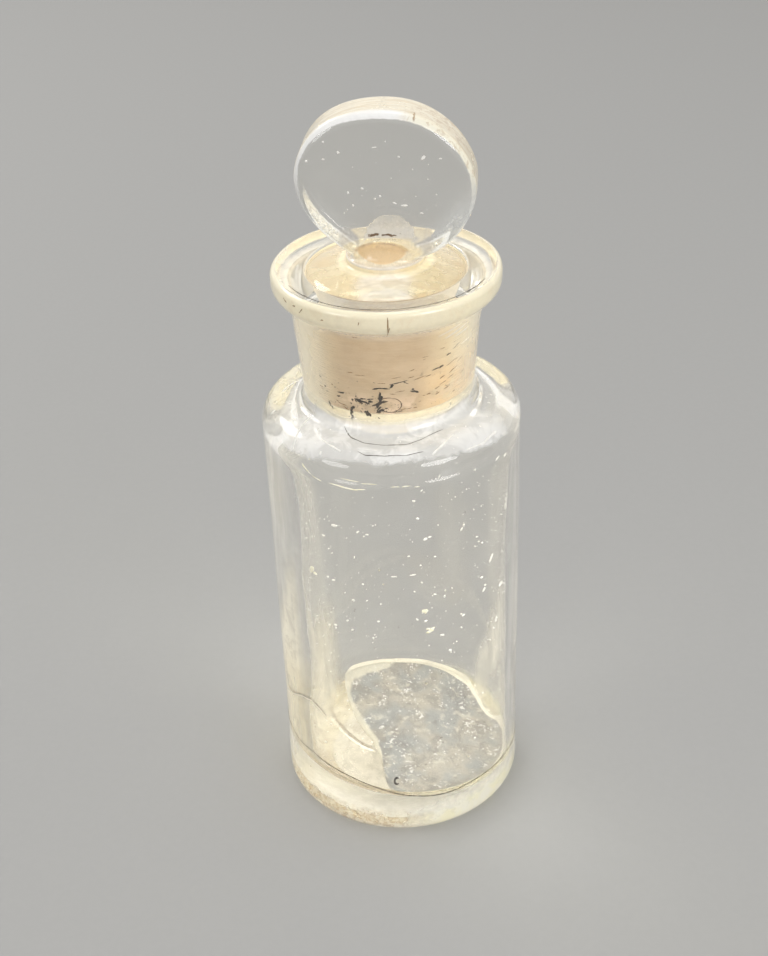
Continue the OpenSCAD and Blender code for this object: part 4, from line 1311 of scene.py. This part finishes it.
soot = plain_grain("black_crust", (0.012, 0.010, 0.009), (0.05, 0.035, 0.025), 0.7)
chalk_and_highlight = plain_grain("pale_dust_and_highlight", (0.95, 0.94, 0.90), (0.85, 0.83, 0.78), 0.5)
ochre = plain_grain("pale_fleck", (0.88, 0.83, 0.60), (0.96, 0.94, 0.84), 0.4)
dark = plain_grain("dark_line", (0.035, 0.030, 0.022), (0.12, 0.10, 0.08), 0.6)
faint = plain_grain("faint_line", (0.26, 0.22, 0.16), (0.50, 0.44, 0.35), 0.6)
stain = plain_grain("brown_stain", (0.20, 0.12, 0.06), (0.35, 0.22, 0.11), 0.7)
brown = plain_grain("brown_crust", (0.10, 0.055, 0.03), (0.20, 0.12, 0.07), 0.7)
cream = plain_grain("cream_ridge", (0.97, 0.93, 0.80), (0.88, 0.83, 0.70), 0.5)

round_cone = math.pi * THROAT_R
round_wall = math.pi * HOLLOW_R
joint_soot = np.vstack([
    JOINT_FLAKES,
    scattered(120, 31, (-round_cone, 60.2), (round_cone, 66.0), (0.08, 0.30), (0.25, 0.8)),
    scattered(70, 32, (-4.6, 61.4), (1.2, 63.8), (0.10, 0.34), (0.2, 0.7))])
thin = np.vstack([scattered(34, 34, (2.0, 61.8), (11.5, 69.5), (0.12, 0.7), (0.1, 0.25)),
                  scattered(26, 39, (-9.0, 61.2), (-1.0, 64.6), (0.12, 0.5), (0.15, 0.4))])
thin[:, 4] = thin[:, 4] / 8 + 8 + thin[:, 0]      # thin stains lie nearly level, and rise more to the right
plug_soot = scattered(120, 35, (-round_cone, GROUND_LOW_Z), (round_cone, 68.0), (0.08, 0.45), (0.25, 0.8))
wall_chalk = np.vstack([WALL_GRAINS, scattered(300, 41, (-round_wall, 9.0), (round_wall, 54.0), (0.08, 0.35)),
                        scattered(500, 48, (-round_wall, 9.0), (round_wall, 54.0), (0.05, 0.14))])
disc_chalk = np.vstack([DISC_GRAINS, scattered(26, 44, (-6.0, -5.0), (6.0, 6.0), (0.06, 0.2))])

# Name, places, surface, material, thickness, seed, lift and raggedness of the flakes
on_bottle = [chips(*row) for row in (
    ("joint_flakes", joint_soot, bore_point, soot, 0.03, 33, 0.01, 0.6),
    ("joint_stains", np.vstack([JOINT_STAINS, thin]), bore_point, stain, 0.02, 37, 0.008, 0.5),
    ("neck_scratches", NECK_SCRATCHES, neck_point, chalk_and_highlight, 0.03, 38, 0.0, 0.3),
    ("wall_dust", wall_chalk, wall_point, chalk_and_highlight, 0.2, 42, 0.01),
    ("wall_flecks", GOLD_FLECKS, wall_point, ochre, 0.2, 43, 0.01, 0.5),
    ("shoulder_line", SHOULDER_LINE, wall_point, ochre, 0.08, 47, 0.01, 0.4),
    ("lip_marks", LIP_MARKS, lip_point, stain, 0.02, 46, -0.005, 0.5),
    ("deck_dust", np.vstack([DECK_GRAINS, dust_in_ring(90, 49, 11.4, 15.0)]), deck_point, chalk_and_highlight, 0.05, 69))]
on_stopper = [chips("plug_flakes", plug_soot, cone_point, soot, 0.015, 36, 0.005, 0.5),
              chips("disc_dust", disc_chalk, disc_face_point, chalk_and_highlight, 0.12, 45)]

# Name, course, surface, width, thickness, material and seed of the threads, and a long one's number of places
on_bottle += [trail(*row) for row in (
    ("joint_ring", JOINT_RING, bore_point, 0.09, 0.02, brown, 67),
    # A painted shade line round the front of the heel
    ("heel_line", HEEL_SHADE_LINE, heel_point, 0.16, 0.02, dark, 61, 400),
    ("heel_crack", HEEL_CRACK, heel_point, 0.08, 0.02, faint, 74, 300),
    ("floor_slant", FLOOR_SLANT, on_floor, 0.34, 0.03, faint, 62),
    ("floor_ridge", FLOOR_RIDGE, on_floor, 0.34, 0.05, cream, 75),
    ("wall_slant", WALL_SLANT, heel_point, 0.20, 0.02, faint, 76),
    ("wall_ridge", [(turn, height - 0.35) for turn, height in WALL_SLANT], heel_point, 0.22, 0.02, cream, 77),
    ("lip_line", front_arc(12.45, -66, 66), lip_top_point, 0.16, 0.02, dark, 63),
    ("joint_line", front_arc(9.72, -42, 48), lip_top_point, 0.20, 0.02, stain, 64),
    ("root_line", DECK_LINES[0], deck_point, 0.09, 0.02, dark, 65),
    ("deck_line", DECK_LINES[1], deck_point, 0.07, 0.02, dark, 66),
    ("joint_low_line_left", BORE_LINES[0], bore_point, 0.13, 0.02, dark, 68),
    ("joint_low_line_right", BORE_LINES[1], bore_point, 0.13, 0.02, dark, 68),
    # Pale threads on the deck in the pale dust's finish: painted highlights
    *[("deck_gleam_" + str(number), course, deck_point, 0.2, 0.02, chalk_and_highlight, 70 + number)
      for number, course in enumerate(DECK_PAINTED_HIGHLIGHTS)])]
on_bottle.append(make_crumb(soot))

for body, pieces in (("bottle", on_bottle), ("stopper", on_stopper)):
    for piece in pieces:
        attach(piece, body)

bpy.context.view_layer.update()
